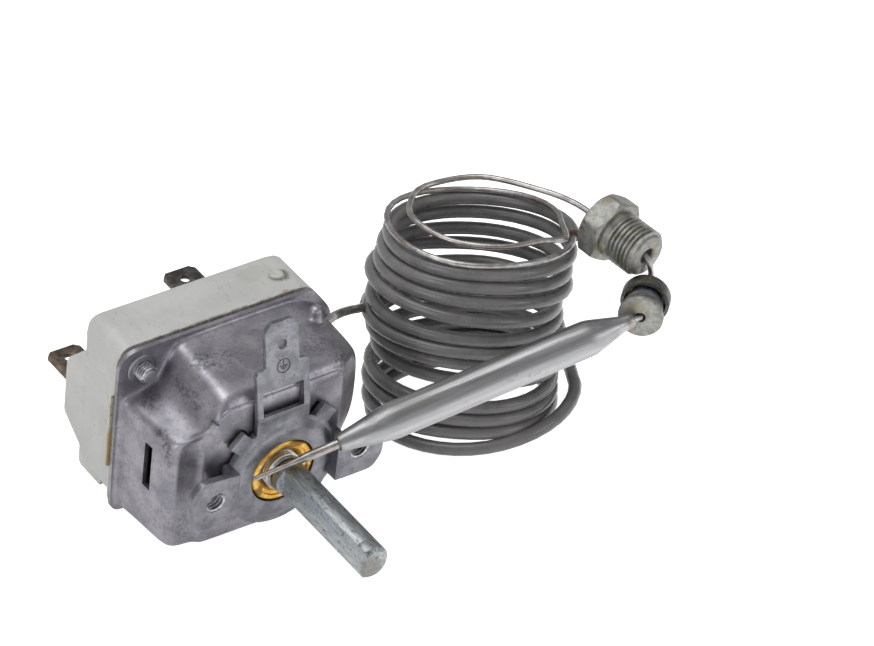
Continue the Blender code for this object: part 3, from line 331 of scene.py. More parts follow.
def shaft_steel():
    """Turned shaft: grey zinc, streaked along its length, with a painted bluish reflection along its
    upper left side, scuffed and brown at its end.
    """
    look = Look("shaft_zinc", 0.85, 0.42)
    streaks = look.noise(1.6, 5.0, (2.2, 0.25, 2.2))
    base = look.mixed(look.between(streaks, 0.38, 0.64), shade(140, 144, 146), shade(176, 181, 183))
    # Painted reflection: a lighter bluish strip along the upper left side of the shaft.
    bluish_reflection = look.spot((-1.6, -10.0, 1.5), (0.5, 9.0, 1.4), 0.4)
    base = look.stained(base, bluish_reflection, 0.5, shade(150, 162, 176))
    scuffs = look.between(look.noise(1.1, 6.0, shift=19.0), 0.56, 0.66)
    base = look.stained(base, scuffs, 0.6, shade(74, 72, 68))
    tip = look.spot((-1.0, -24.2, -0.6), (3.0, 1.6, 3.0), 0.5)
    base = look.stained(base, tip, 0.5, shade(104, 92, 74))
    look.colour(base)
    look.roughness(streaks, 0.32, 0.52)
    look.bump(look.noise(5.0, 4.0, (1.0, 0.5, 1.0)), 0.03)
    return look.material


def spindle_steel():
    """The spindle's bright thread, with brass rubbed off on it."""
    look = Look("spindle_steel", 1.0, 0.32)
    cloud = look.noise(1.2, 4.0, shift=2.0)
    base = look.mixed(look.between(cloud, 0.40, 0.60), shade(158, 160, 160), shade(194, 196, 194))
    rubbed = look.between(look.noise(0.7, 3.0, shift=17.0), 0.54, 0.62)
    base = look.stained(base, rubbed, 0.6, shade(190, 152, 84))
    look.colour(base)
    look.roughness(cloud, 0.28, 0.40)
    look.bump(look.noise(3.0, 3.0), 0.004)
    return look.material


def tarnished_brass():
    look = Look("tarnished_brass", 0.8, 0.36)
    cloud = look.noise(0.9, 5.0)
    base = look.mixed(look.between(cloud, 0.40, 0.62), shade(228, 172, 72), shade(248, 208, 112))
    dark = look.both(look.between(look.noise(0.55, 6.0, shift=5.0), 0.50, 0.62),
                     look.between(look.noise(2.6, 4.0, shift=1.0), 0.36, 0.6))
    base = look.stained(base, dark, 0.4, shade(120, 82, 36))
    for centre, reach in (((-4.4, 1.6, -2.6), (1.1, 1.6, 1.2)), ((2.2, 1.6, 4.9), (3.6, 1.6, 1.0)),
                          ((4.6, 1.6, -2.0), (1.4, 1.6, 1.6))):
        tarnish = look.spot(centre, reach, 0.5)
        base = look.stained(base, tarnish, 0.75, shade(104, 70, 28))
    look.colour(base)
    look.roughness(cloud, 0.30, 0.50)
    look.bump(look.noise(5.0, 4.0), 0.015)
    return look.material


def aged_ceramic():
    """Smooth matt ceramic: warm light grey with specks, smudges, a scratch and rust stains."""
    look = Look("aged_ceramic", 0.0, 0.42)
    cloud = look.noise(0.11, 4.0)
    base = look.mixed(look.between(cloud, 0.35, 0.68), shade(205, 206, 204), shade(217, 218, 215))
    smudges = look.between(look.noise(0.45, 6.0, (1, 1, 0.6), 21.0), 0.60, 0.74)
    base = look.stained(base, smudges, 0.45, shade(168, 172, 178))
    specks = look.between(look.grains(0.8, 2.0), 0.09, 0.04)
    base = look.stained(base, specks, 0.7, shade(120, 112, 98))
    outer = look.spot((13.9, 26.2, 18.0), (2.3, 2.0, 2.0), 0.3, 0.5)
    inner = look.spot((13.7, 26.8, 18.0), (1.5, 1.6, 1.6), 0.3, 0.5)
    arc = look.both(look.number("SUBTRACT", outer, look.both(outer, inner)),
                    look.between(look.noise(0.8, 3.0, shift=5.5), 0.34, 0.46))
    base = look.stained(base, arc, 0.85, shade(108, 100, 82))
    haze = look.spot((10.5, 28.5, 18.0), (4.5, 2.4, 1.6), 0.5, 0.3)
    base = look.stained(base, haze, 0.2, shade(148, 142, 124))
    # A darker spot on the ceramic by the rear boss, below and left of its centre.
    boss_dark_spot = look.spot((-17.0, 33.5, 12.5), (1.6, 2.2, 1.8), 0.5)
    base = look.stained(base, boss_dark_spot, 0.5, shade(112, 110, 102))
    grime = look.both(look.spot((0.0, 21.7, 18.0), (22.0, 0.55, 1.4), 0.3),
                      look.between(look.noise(0.7, 5.0, shift=13.0), 0.38, 0.58))
    base = look.stained(base, grime, 0.6, shade(118, 110, 84))
    rust = look.spot((12.4, 22.2, 18.0), (0.8, 0.4, 0.8), 0.4)
    base = look.stained(base, rust, 0.6, shade(178, 134, 62))
    wander = look.noise(0.5, 1.0, (1.0, 0.12, 1.0), 44.0)
    scratch = look.both(look.between(wander, 0.498, 0.503), look.between(wander, 0.508, 0.503))
    base = look.stained(base, scratch, 0.35, shade(150, 148, 142))
    look.colour(base)
    look.roughness(cloud, 0.34, 0.50)
    look.bump(look.noise(1.8, 6.0), 0.03)
    return look.material


def gasket_sheet():
    look = Look("pale_gasket", 0.0, 0.6)
    cloud = look.noise(0.6, 5.0)
    base = look.mixed(look.between(cloud, 0.42, 0.6), shade(214, 206, 176), shade(230, 224, 200))
    yellow = look.spot((-20.9, 21.2, -2.0), (1.0, 1.0, 5.5), 0.25)
    base = look.stained(base, yellow, 0.7, shade(196, 170, 104))
    # Painted shade: all of the gasket but the outer edges at its sides is painted dark, for the gap
    # between the casing's flange and the ceramic.
    inner = look.between(look.maths("LENGTH", look.maths("MULTIPLY", look.place, (1, 0, 0))),
                         20.35, 20.15)
    base = look.stained(base, inner, 0.85, shade(92, 88, 78))
    spots = look.between(look.noise(1.5, 5.0, shift=3.0), 0.60, 0.68)
    base = look.stained(base, spots, 0.8, shade(92, 80, 60))
    look.colour(base)
    look.bump(cloud, 0.05)
    return look.material


def screw_steel():
    look = Look("bright_screw_steel", 1.0, 0.34)
    cloud = look.noise(1.4, 5.0)
    base = look.mixed(look.between(cloud, 0.40, 0.62), shade(164, 164, 170), shade(206, 206, 212))
    look.colour(base)
    look.roughness(cloud, 0.28, 0.42)
    look.bump(look.noise(3.0, 3.0), 0.006)
    return look.material


def groove_steel():
    """The corner screw's core: a bright end, and painted shade in the grooves of its thread."""
    look = Look("screw_grooves", 0.9, 0.40)
    x, z = CORNER_SCREW
    off_axis = look.maths("MULTIPLY", look.maths("SUBTRACT", look.place, (x / MM, 0, z / MM)),
                          (1, 0, 1))
    # Painted shade: the core's side in front of the head, which shows between the thread's ridges,
    # is painted dark.
    side = look.both(look.between(look.maths("LENGTH", off_axis), 1.22, 1.34),
                     look.between(look.maths("DOT_PRODUCT", look.place, (0, 1, 0)), 25.0, 24.0))
    look.colour(look.mixed(side, shade(176, 176, 180), shade(70, 68, 66)))
    cloud = look.noise(1.4, 5.0)
    look.roughness(cloud, 0.34, 0.50)
    look.bump(look.noise(3.0, 3.0), 0.006)
    return look.material


def terminal_metal(name, dark, light, warm):
    """Heat-tinted blade metal: mottled dark and light, with warm patches."""
    look = Look(name, 0.75, 0.42)
    cloud = look.noise(0.55, 6.0)
    base = look.mixed(look.between(cloud, 0.38, 0.62), dark, light)
    base = look.stained(base, look.between(look.noise(1.1, 5.0, shift=8.0), 0.52, 0.66), 0.7, warm)
    look.colour(base)
    look.roughness(cloud, 0.34, 0.55)
    look.bump(look.noise(4.0, 4.0), 0.03)
    return look.material


def plain_metal(name, colour, roughness):
    """A hidden metal piece: one colour, lightly mottled."""
    look = Look(name, 1.0, roughness)
    cloud = look.noise(1.2, 4.0)
    darker = tuple(c * 0.7 for c in colour[:3]) + (1.0,)
    look.colour(look.mixed(look.between(cloud, 0.4, 0.62), darker, colour))
    look.roughness(cloud, roughness - 0.06, roughness + 0.12)
    look.bump(look.noise(5.0, 3.0), 0.015)
    return look.material


def capillary_steel():
    """Drawn capillary: bright steel with brown heat marks here and there."""
    look = Look("capillary_steel", 1.0, 0.34)
    cloud = look.noise(0.5, 4.0)
    base = look.mixed(look.between(cloud, 0.40, 0.62), shade(160, 158, 158), shade(196, 194, 192))
    marks = look.between(look.noise(0.22, 4.0, shift=12.0), 0.50, 0.64)
    base = look.stained(base, marks, 0.4, shade(158, 132, 114))
    look.colour(base)
    look.roughness(cloud, 0.30, 0.44)
    look.bump(look.noise(2.0, 3.0), 0.006)
    return look.material


def sleeve_plastic():
    """Dark grey, slightly glossy sleeve."""
    look = Look("grey_sleeve", 0.0, 0.28)
    cloud = look.noise(0.16, 4.0)
    base = look.mixed(look.between(cloud, 0.38, 0.64), shade(119, 118, 118), shade(131, 130, 129))
    dust = look.between(look.noise(2.6, 5.0, shift=2.0), 0.60, 0.74)
    base = look.stained(base, dust, 0.3, shade(132, 128, 122))
    warm = look.between(look.noise(0.3, 3.0, shift=15.0), 0.58, 0.7)
    base = look.stained(base, warm, 0.25, shade(98, 90, 80))
    cut_end = look.spot((60.4, 7.8, 22.1), (1.5, 1.5, 1.5), 0.2)
    base = look.stained(base, cut_end, 0.8, shade(128, 92, 70))
    look.colour(base)
    look.roughness(cloud, 0.22, 0.34)
    look.bump(look.noise(1.6, 5.0), 0.008)
    return look.material


def gland_zinc(name, dark, light):
    """The gland's zinc: dull grey-green with yellow passivation left in its corners."""
    look = Look(name, 0.65, 0.48)
    cloud = look.noise(0.6, 5.0)
    base = look.mixed(look.between(cloud, 0.38, 0.62), dark, light)
    yellow = look.between(look.noise(0.5, 5.0, shift=23.0), 0.52, 0.64)
    base = look.stained(base, yellow, 0.6, shade(150, 138, 98))
    grime = look.between(look.noise(1.4, 5.0, shift=14.0), 0.58, 0.70)
    base = look.stained(base, grime, 0.6, shade(74, 74, 72))
    look.colour(base)
    look.roughness(cloud, 0.38, 0.54)
    look.bump(look.noise(3.2, 5.0), 0.04)
    return look.material


def seal_rubber():
    look = Look("seal_rubber", 0.0, 0.55)
    cloud = look.noise(0.9, 5.0)
    base = look.mixed(look.between(cloud, 0.4, 0.62), shade(84, 86, 88), shade(112, 114, 116))
    look.colour(base)
    look.bump(look.noise(2.4, 5.0), 0.05)
    return look.material


def bulb_nickel():
    """The bulb's satin plating: bright bands drawn along it, faint scratches, darker streaks over
    its top that are partly stains and partly painted shade, a brown neck.
    """
    look = Look("bulb_nickel", 0.9, 0.40)
    whole = look.place
    look.place = look.drawn_out(BULB_AXIS, 0.96)
    bands = look.noise(0.8, 4.0)
    streaks = look.between(look.noise(1.0, 4.0, shift=31.0), 0.34, 0.66)
    gloss = look.noise(1.6, 4.0, shift=3.0)
    ripple = look.noise(1.0, 3.0, shift=9.0)
    look.place = whole
    base = look.mixed(look.between(bands, 0.36, 0.66), shade(160, 161, 163), shade(182, 182, 184))
    # The top of the bulb is painted darker in streaks: partly stains, partly painted shade.
    height = look.maths("DOT_PRODUCT", look.maths("SUBTRACT", look.place, (6.87, -3.08, 6.41)),
                        (-0.262, 0.03, 0.965))
    top_stains_and_shade = look.between(height, 0.9, 2.6)
    base = look.stained(base, look.both(top_stains_and_shade, streaks), 0.8, shade(116, 115, 113))
    grime = look.both(look.between(look.noise(0.8, 6.0, shift=8.0), 0.54, 0.68),
                      look.between(look.noise(2.8, 4.0), 0.4, 0.6))
    base = look.stained(base, grime, 0.4, shade(128, 124, 118))
    for centre in ((56.6, -12.6, 19.7), (6.7, -3.1, 6.4)):
        collar = look.spot(centre, (1.7, 1.7, 1.7), 0.2)
        base = look.stained(base, collar, 0.8, shade(124, 98, 68))
    look.colour(base)
    look.roughness(gloss, 0.30, 0.48)
    look.bump(ripple, 0.004)
    return look.material


def lay_camera():
    data = bpy.data.cameras.new("camera")
    camera = put("camera", data)
    camera.location = CAMERA_PLACE
    camera.rotation_euler = [math.radians(a) for a in CAMERA_TURN]
    data.lens = CAMERA_LENS
    data.sensor_width = 36
    data.clip_start = 0.01
    scene.camera = camera


def by_ray(tree, seen, mirrored, lit):
    """A strength for rays from the camera or through glass, one for gloss and one for the rest."""
    path = tree.nodes.new("ShaderNodeLightPath")
    value = lit
    for ray, strength in (("Is Glossy Ray", mirrored), ("Is Transmission Ray", seen),
                          ("Is Camera Ray", seen)):
        choice = tree.nodes.new("ShaderNodeMix")
        tree.links.new(path.outputs[ray], choice.inputs[0])
        for socket, source in ((choice.inputs[2], value), (choice.inputs[3], strength)):
            if isinstance(source, bpy.types.NodeSocket):
                tree.links.new(source, socket)
            else:
                socket.default_value = source
        value = choice.outputs[0]
    return value


def brighter_in_front(tree, behind, in_front):
    """A strength that rises across the floor, from behind the part to its front right side."""
    front_right = (0.6, -0.8, 0.0)
    reach = 0.03
    place = tree.nodes.new("ShaderNodeTexCoord")
    across = tree.nodes.new("ShaderNodeVectorMath")
    across.operation = "DOT_PRODUCT"
    tree.links.new(place.outputs["Object"], across.inputs[0])
    across.inputs[1].default_value = front_right
    rise = tree.nodes.new("ShaderNodeMapRange")
    tree.links.new(across.outputs["Value"], rise.inputs["Value"])
    rise.inputs["From Min"].default_value = -reach
    rise.inputs["From Max"].default_value = reach
    rise.inputs["To Min"].default_value = behind
    rise.inputs["To Max"].default_value = in_front
    return rise.outputs[0]


def pale_floor():
    mat = bpy.data.materials.new("pale_floor")
    mat.use_nodes = True
    tree = mat.node_tree
    shader = tree.nodes["Principled BSDF"]
    shader.inputs["Base Color"].default_value = (0.86, 0.86, 0.86, 1)
    shader.inputs["Roughness"].default_value = 0.9
    shader.inputs["Specular IOR Level"].default_value = 0.0
    shader.inputs["Emission Color"].default_value = (1, 1, 1, 1)
    mirrored = brighter_in_front(tree, behind=0.28, in_front=0.90)
    strength = by_ray(tree, seen=0.92, mirrored=mirrored, lit=0.0)
    tree.links.new(strength, shader.inputs["Emission Strength"])
    return mat


def lay_floor():
    """A pale plain floor, which reads as white and keeps a soft shadow."""
    half = 1.5
    mesh = bpy.data.meshes.new("floor")
    across = Vector((1, 0, 0))
    along = FLOOR_NORMAL.cross(across)
    centre = FLOOR_NORMAL * FLOOR_LEVEL
    corners = [centre + across * a * half + along * b * half
               for a, b in ((-1, -1), (1, -1), (1, 1), (-1, 1))]
    mesh.from_pydata(corners, [], [(0, 1, 2, 3)])
    mesh.materials.append(pale_floor())
    put("floor", mesh)


def lay_lights():
    world = bpy.data.worlds.new("studio")
    scene.world = world
    world.use_nodes = True
    tree = world.node_tree
    background = tree.nodes["Background"]
    background.inputs["Color"].default_value = (1, 1, 1, 1)
    tree.links.new(by_ray(tree, seen=1.0, mirrored=0.36, lit=0.30), background.inputs["Strength"])
    target = Vector((0.02, 0.01, 0.005))
    for name, place, size, power in (
            ("overhead", (-0.10, 0.22, 0.60), 0.40, 1.6),
            ("left", (-0.60, -0.02, 0.20), 0.30, 0.8),
            ("front_right", (0.40, -0.55, 0.40), 0.26, 0.7)):
        data = bpy.data.lights.new(name, "AREA")
        data.size = size
        data.energy = power
        light = put(name, data)
        light.location = place
        light.rotation_euler = (target - Vector(place)).to_track_quat("-Z", "Y").to_euler()


def add_piece(name, mesh, mat, stands_for=(), body="housing", smooth_angle=40):
    """A new piece with its material, riding on a body, perhaps in the place of CAD nodes."""
    obj = put(name, mesh)
    mesh.materials.clear()
    mesh.materials.append(mat)
    mesh.shade_smooth()
    mesh.set_sharp_from_angle(angle=math.radians(smooth_angle))
    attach(obj, body)
    if stands_for:
        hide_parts(*stands_for)
    return obj


def settled(obj):
    """The mesh that the object's modifiers make. The object itself goes."""
    bpy.context.view_layer.update()
    graph = bpy.context.evaluated_depsgraph_get()
    mesh = bpy.data.meshes.new_from_object(obj.evaluated_get(graph))
    bpy.data.objects.remove(obj, do_unlink=True)
    return mesh


def soften(obj, width, sides, angle):
    """Round the object's edges that are sharper than an angle in degrees, by a width in mm."""
    soft = obj.modifiers.new("soft_edges", "BEVEL")
    soft.width = width * MM
    soft.segments = sides
    soft.limit_method = "ANGLE"
    soft.angle_limit = math.radians(angle)


def combine(obj, tool, operation):
    step = obj.modifiers.new(operation.lower(), "BOOLEAN")
    step.operation = operation
    step.solver = "EXACT"
    step.object = tool


def placed(bm, foot, axis, name):
    """The mesh of a shape that was made standing at the origin, moved to its foot and axis."""
    turn = Vector(axis).to_track_quat("Z", "Y").to_matrix().to_4x4()
    bm.transform(Matrix.Translation(foot) @ turn)
    bmesh.ops.remove_doubles(bm, verts=bm.verts, dist=0.000002)
    bmesh.ops.recalc_face_normals(bm, faces=bm.faces)
    return mesh_from(bm, name)


def turned(name, profile, foot, axis, steps=96, turns=1.0, pitch=0.0):
    """A mesh turned about an axis, from points of (radius, height) in mm. A pitch makes a helix.

    A profile that starts and ends off the axis is closed into a ring.
    """
    bm = bmesh.new()
    verts = [bm.verts.new((radius * MM, 0, height * MM)) for radius, height in profile]
    edges = [bm.edges.new(pair) for pair in zip(verts, verts[1:])]
    if min(profile[0][0], profile[-1][0]) > 0.01 and not pitch and profile[0] != profile[-1]:
        edges.append(bm.edges.new((verts[-1], verts[0])))
    count = round(steps * turns)
    bmesh.ops.spin(bm, geom=verts + edges, cent=(0, 0, 0), axis=(0, 0, 1), steps=count,
                   angle=2 * math.pi * turns, dvec=(0, 0, pitch * MM / steps))
    return placed(bm, foot, axis, name)


def thread(name, root, crest, pitch, turns, foot, axis):
    """A helical ridge from its root to its crest radius, both in mm."""
    profile = ((root, 0.0), (crest, pitch * 0.26), (crest, pitch * 0.42), (root, pitch * 0.68))
    return turned(name, profile, foot, axis, 48, turns, pitch)


def dressed(name, width, mat, sides=2, smooth_angle=40, body="housing"):
    """A copy of a CAD node with its flat faces joined and its edges softened by a width in mm."""
    bm = bmesh.new()
    bm.from_mesh(nodes[name].data)
    bmesh.ops.remove_doubles(bm, verts=bm.verts, dist=0.000002)
    bmesh.ops.dissolve_limit(bm, angle_limit=math.radians(1.5), verts=bm.verts, edges=bm.edges)
    obj = put(name, mesh_from(bm, name))
    obj.matrix_world = nodes[name].matrix_world
    soften(obj, width, sides, 40)
    return add_piece(name + "_finished", settled(obj), mat, (name,), body, smooth_angle)


def rounded(corners, reaches, steps=3, share=0.72):
    """A ring of points whose corners are softened by curves that start a reach before them."""
    points = []
    for i, corner in enumerate(corners):
        corner = Vector(corner)
        before = Vector(corners[i - 1]) - corner
        after = Vector(corners[(i + 1) % len(corners)]) - corner
        start = corner + before.normalized() * min(reaches[i], before.length * share)
        end = corner + after.normalized() * min(reaches[i], after.length * share)
        for k in range(steps + 1):
            t = k / steps
            points.append(start * (1 - t) ** 2 + corner * 2 * t * (1 - t) + end * t ** 2)
    return points


def wall_ring(inset, low_inset, right_inset, left_y, middle_y, right_y):
    """One ring of the casing's wall, inset, with its depth at the left, middle and right."""
    left = WALL_LEFT + inset
    right = WALL_RIGHT - right_inset
    slide = inset / 2
    low = WALL_BOTTOM + low_inset
    top = WALL_TOP - inset
    corners = (
        (left, left_y, low), (left, left_y, 0.0091 + slide * 0.4),
        (-0.0133, middle_y, 0.0104 + slide), (-0.0107 - slide, middle_y, top),
        (0.0123, middle_y, top), (right, right_y, top - 0.0028),
        (right, right_y, -0.0015 + slide), (0.0074 - slide, middle_y, low),
    )
    return rounded(corners, (0.0022, 0.0018, 0.0030, 0.0026, 0.0015, 0.0072, 0.0035, 0.0035))


def face_ring(grow, y, left_y, right_y):
    """One ring of the casing's raised front face, grown outwards by a margin."""
    corners = (
        (FACE_LEFT - grow, left_y, FACE_BOTTOM - grow * 0.3), (FACE_LEFT - grow, left_y, 0.0095),
        (FACE_LEFT + 0.0010, y, 0.0121), (FACE_LEFT + 0.0028, y, FACE_TOP + grow * 0.4),
        (FACE_RIGHT - 0.0011, y, FACE_TOP + grow * 0.4),
        (FACE_RIGHT + grow, right_y, FACE_TOP - 0.0011), (FACE_RIGHT + grow, right_y, -0.0060),
        (FACE_RIGHT - 0.0064, y, FACE_BOTTOM - grow * 0.3),
    )
    return rounded(corners, (0.0010, 0.0012, 0.0015, 0.0015, 0.0008, 0.0008, 0.0020, 0.0020))


def casing_rings():
    rim = rounded(
        ((-RIM_HALF_WIDTH, RIM_Y, RIM_BOTTOM), (-RIM_HALF_WIDTH, RIM_Y, RIM_TOP - 0.0029),
         (-RIM_HALF_WIDTH + 0.0010, RIM_Y, RIM_TOP - 0.0010),
         (-RIM_HALF_WIDTH + 0.0029, RIM_Y, RIM_TOP), (RIM_HALF_WIDTH - 0.0041, RIM_Y, RIM_TOP),
         (RIM_HALF_WIDTH, RIM_Y, RIM_TOP - 0.0055), (RIM_HALF_WIDTH, RIM_Y, RIM_BOTTOM + 0.0030),
         (RIM_HALF_WIDTH - 0.0030, RIM_Y, RIM_BOTTOM)),
        (0.0030, 0.0010, 0.0010, 0.0010, 0.0008, 0.0020, 0.0020, 0.0020), share=0.45)
    root = RIM_Y - 0.0007
    return [
        rim,
        wall_ring(-0.0005, -0.0004, -0.0003, RIM_Y, RIM_Y, RIM_Y),
        wall_ring(0.0, 0.0, 0.0, root, root, root),
        wall_ring(0.0002, 0.0004, 0.0001, 0.0130, 0.0130, 0.0150),
        wall_ring(0.0004, 0.0007, 0.0003, 0.0074, 0.0066, 0.0108),
        wall_ring(0.0008, 0.0009, 0.0007, 0.0063, 0.0053, 0.0099),
        wall_ring(0.0015, 0.0012, 0.0016, 0.0057, 0.0045, 0.0094),
        wall_ring(0.0022, 0.0014, 0.0027, 0.0056, 0.0041, 0.0091),
        face_ring(0.0010, 0.0039, 0.0053, 0.0042),
        face_ring(0.0001, FACE_Y + 0.0001, FACE_Y + 0.0006, FACE_Y + 0.0001),
        face_ring(-0.0005, FACE_Y, FACE_Y, FACE_Y),
    ]


def cutter(name, low, high):
    """A box between two corners, for cutting a hole."""
    bm = bmesh.new()
    bmesh.ops.create_cube(bm, size=1.0)
    bmesh.ops.scale(bm, vec=Vector(high) - Vector(low), verts=bm.verts)
    bmesh.ops.translate(bm, vec=(Vector(low) + Vector(high)) / 2, verts=bm.verts)
    return mesh_from(bm, name)


def bored(name, radius, start, end):
    """A cylinder between two points, for cutting a hole."""
    bm = bmesh.new()
    length = (end - start).length
    bmesh.ops.create_cone(bm, cap_ends=True, segments=64, radius1=radius, radius2=radius,
                          depth=length)
    bmesh.ops.translate(bm, vec=(0, 0, length / 2), verts=bm.verts)
    return placed(bm, start, end - start, name)


def casing_holes():
    holes = [
        bored("bush_hole", BUSH_RADIUS + 0.0003, Vector((0, 0.0, 0)), Vector((0, 0.0100, 0))),
        cutter("face_slot", (-0.0036, 0.0010, 0.0099), (0.0024, 0.0080, 0.0112)),
        cutter("side_slot", (-0.0230, 0.0112, -0.0036), (-0.0160, 0.0132, 0.0052)),
        bored("lead_hole", 0.00105, LEAD_EXIT[0] - LEAD_EXIT[1] * 0.003,
              LEAD_EXIT[0] + LEAD_EXIT[1] * 0.003),
    ]
    x, z = CORNER_SCREW
    holes.append(bored("screw_hole", 0.0019, Vector((x, 0.0180, z)), Vector((x, 0.0230, z))))
    for angle in (48, 135):
        slot = cutter("lug_slot", (0.0107, 0.0010, -0.0019), (0.0125, 0.0080, 0.0019))
        slot.transform(Matrix.Rotation(-math.radians(angle), 4, "Y"))
        holes.append(slot)
    return holes


def drawn_casing(mat):
    """The drawn casing: a loft in soft bends, given its sheet's thickness and its holes."""
    rings = casing_rings()
    count = len(rings[0])
    faces = [(r * count + i, r * count + (i + 1) % count, (r + 1) * count + (i + 1) % count,
              (r + 1) * count + i) for r in range(len(rings) - 1) for i in range(count)]
    faces.append([(len(rings) - 1) * count + i for i in range(count)])
    bm = bmesh.new()
    loft = bpy.data.meshes.new("loft")
    loft.from_pydata([point for ring in rings for point in ring], [], faces)
    bm.from_mesh(loft)
    bmesh.ops.remove_doubles(bm, verts=bm.verts, dist=0.000001)
    bmesh.ops.recalc_face_normals(bm, faces=bm.faces)
    if max(bm.faces, key=lambda face: face.calc_area()).normal.y > 0:
        bmesh.ops.reverse_faces(bm, faces=bm.faces)
    bm.to_mesh(loft)
    bm.free()
    obj = put("loft", loft)
    soft = obj.modifiers.new("soft", "SUBSURF")
    soft.levels = 2
    soft.render_levels = 2
    shell = obj.modifiers.new("sheet", "SOLIDIFY")
    shell.thickness = SHEET
    shell.offset = -1
    tools = []
    for mesh in casing_holes():
        tool = put("tool", mesh)
        combine(obj, tool, "DIFFERENCE")
        tools.append(tool)
    mesh = settled(obj)
    for tool in tools:
        bpy.data.objects.remove(tool, do_unlink=True)
    return add_piece("drawn_casing", mesh, mat, ("front_casing",), smooth_angle=50)


def on_arm(right, up, out):
    """A point on the bracket's leaning arm, in mm from its foot's middle and out of its front."""
    along = Vector((0, math.sin(ARM_LEAN), math.cos(ARM_LEAN)))
    outward = Vector((0, -math.cos(ARM_LEAN), math.sin(ARM_LEAN)))
    return (ARM_PLACE + Vector((right * MM, 0, 0)) + along * up * MM
            + outward * (ARM_SHEET / 2 + out * MM))


def earth_mark(mat):
    """The stamped earth sign: a ring with the sign's upright and three bars."""
    strokes = [[(1.22 * math.cos(a), 1.22 * math.sin(a))
                for a in [2 * math.pi * i / 40 for i in range(41)]],
               [(0.0, 0.95), (0.0, 0.0)], [(-0.72, 0.0), (0.72, 0.0)],
               [(-0.46, -0.32), (0.46, -0.32)], [(-0.2, -0.62), (0.2, -0.62)]]
    curve = bpy.data.curves.new("earth_mark", "CURVE")
    curve.dimensions = "3D"
    curve.bevel_depth = 0.08 * MM
    for stroke in strokes:
        spline = curve.splines.new("POLY")
        spline.points.add(len(stroke) - 1)
        for point, (right, up) in zip(spline.points, stroke):
            point.co = (*on_arm(0.1 + right, 8.75 + up, 0.01), 1)
    obj = put("earth_mark", curve)
    curve.materials.append(mat)
    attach(obj, "housing")


def bracket_details(mat, steel):
    """The collar's smooth pressed ring and the threads of the two tapped ears."""
    collar = ((9.9, -2.12), (9.55, -2.0), (9.15, -1.74), (8.75, -1.5), (8.3, -1.38), (7.6, -1.33),
              (6.9, -1.37), (6.4, -1.46), (6.08, -1.62), (6.08, -2.6))
    add_piece("pressed_collar", turned("pressed_collar", collar, Vector(), FORWARD), mat)
    for side, x in (("left", -EAR_X), ("right", EAR_X)):
        ridge = thread("ear_thread_" + side, 1.78, 1.44, 0.66, 3.2, Vector((x, 0.0024, 0)), FORWARD)
        add_piece("ear_thread_" + side, ridge, steel)


def bush_and_spindle(brass, steel):
    """The bush's rounded front ring, and the fine thread of the spindle inside it."""
    ring = ((7.6, -6.4), (7.6, -4.7), (5.95, -4.7), (5.95, -2.6), (5.9, -2.1), (5.7, -1.75),
            (5.35, -1.52), (5.0, -1.5), (4.8, -1.6), (4.72, -1.85), (4.6, -1.92), (4.3, -1.94),
            (4.15, -2.05), (3.85, -2.4), (3.6, -2.6), (3.6, -6.4))
    add_piece("bush_ring", turned("bush_ring", ring, Vector(), FORWARD), brass,
              ("brass_bush",))
    body = ((0.0, -10.5), (1.5, -10.3), (1.5, -9.0), (3.2, -9.0), (3.2, -1.3), (2.95, -0.95),
            (2.1, -0.9))
    add_piece("spindle", turned("spindle", body, Vector(), FORWARD), steel,
              ("adjusting_spindle",), "shaft")
    ridge = thread("spindle_thread", 3.15, 3.42, 0.55, 7.0, Vector((0, 0.0052, 0)), FORWARD)
    add_piece("spindle_thread", ridge, steel, (), "shaft")


def screw_and_stud(steel, grooves, zinc):
    """The corner screw's threaded tip in its pressed pad, and the stud on the casing's top."""
    x, z = CORNER_SCREW
    foot = Vector((x, 0, z))
    body = ((0.0, -32.3), (1.7, -32.3), (2.4, -31.9), (2.4, -31.3), (1.4, -31.3), (1.4, -17.9),
            (1.2, -17.5), (0.9, -17.4), (0.0, -17.4))
    add_piece("corner_screw_core", turned("corner_screw_core", body, foot, FORWARD),
              grooves, ("corner_screw_1",))
    ridge = thread("corner_screw_thread", 1.38, 1.66, 0.55, 6.5, foot + Vector((0, 0.0215, 0)),
                   FORWARD)
    add_piece("corner_screw_thread", ridge, steel)
    pad = ((2.75, -20.02), (2.6, -19.9), (2.3, -19.86), (2.0, -19.8), (1.75, -19.72),
           (1.62, -19.85), (1.6, -20.7))
    add_piece("screw_pad", turned("screw_pad", pad, foot, FORWARD), zinc)
    ring = [(1.6, 16.5), (1.4, 16.8), (1.2, 17.1), (1.12, 17.4), (1.12, 18.1)]
    ring += [(1.12 * math.cos(a), 18.1 + 0.85 * math.sin(a))
             for a in [math.radians(15 * i) for i in range(1, 7)]]
    stud = turned("stud_dome", ring, Vector((0.0140, 0.0155, 0)), (0, 0, 1))
    add_piece("stud_dome", stud, zinc, ("casing_stud",))


def gland_hexagon(mat):
    """The gland's hexagon, with its corners turned off by a chamfer at both ends."""
    bm = bmesh.new()
    bmesh.ops.create_cone(bm, cap_ends=True, segments=6, radius1=6.0 * MM, radius2=6.0 * MM,
                          depth=4.3 * MM)
    bmesh.ops.translate(bm, vec=(0, 0, 2.15 * MM), verts=bm.verts)
    block = put("block", placed(bm, GLAND_FOOT, GLAND_AXIS, "block"))
    chamfer = ((0.0, -0.1), (4.9, -0.1), (5.9, 0.8), (5.95, 3.6), (5.1, 4.4), (0.0, 4.4))
    cone = put("cone", turned("cone", chamfer, GLAND_FOOT, GLAND_AXIS))
    combine(block, cone, "INTERSECT")
    soften(block, 0.25, 2, 35)
    mesh = settled(block)
    bpy.data.objects.remove(cone, do_unlink=True)
    return add_piece("gland_hexagon", mesh, mat, ("gland_body",), smooth_angle=30)


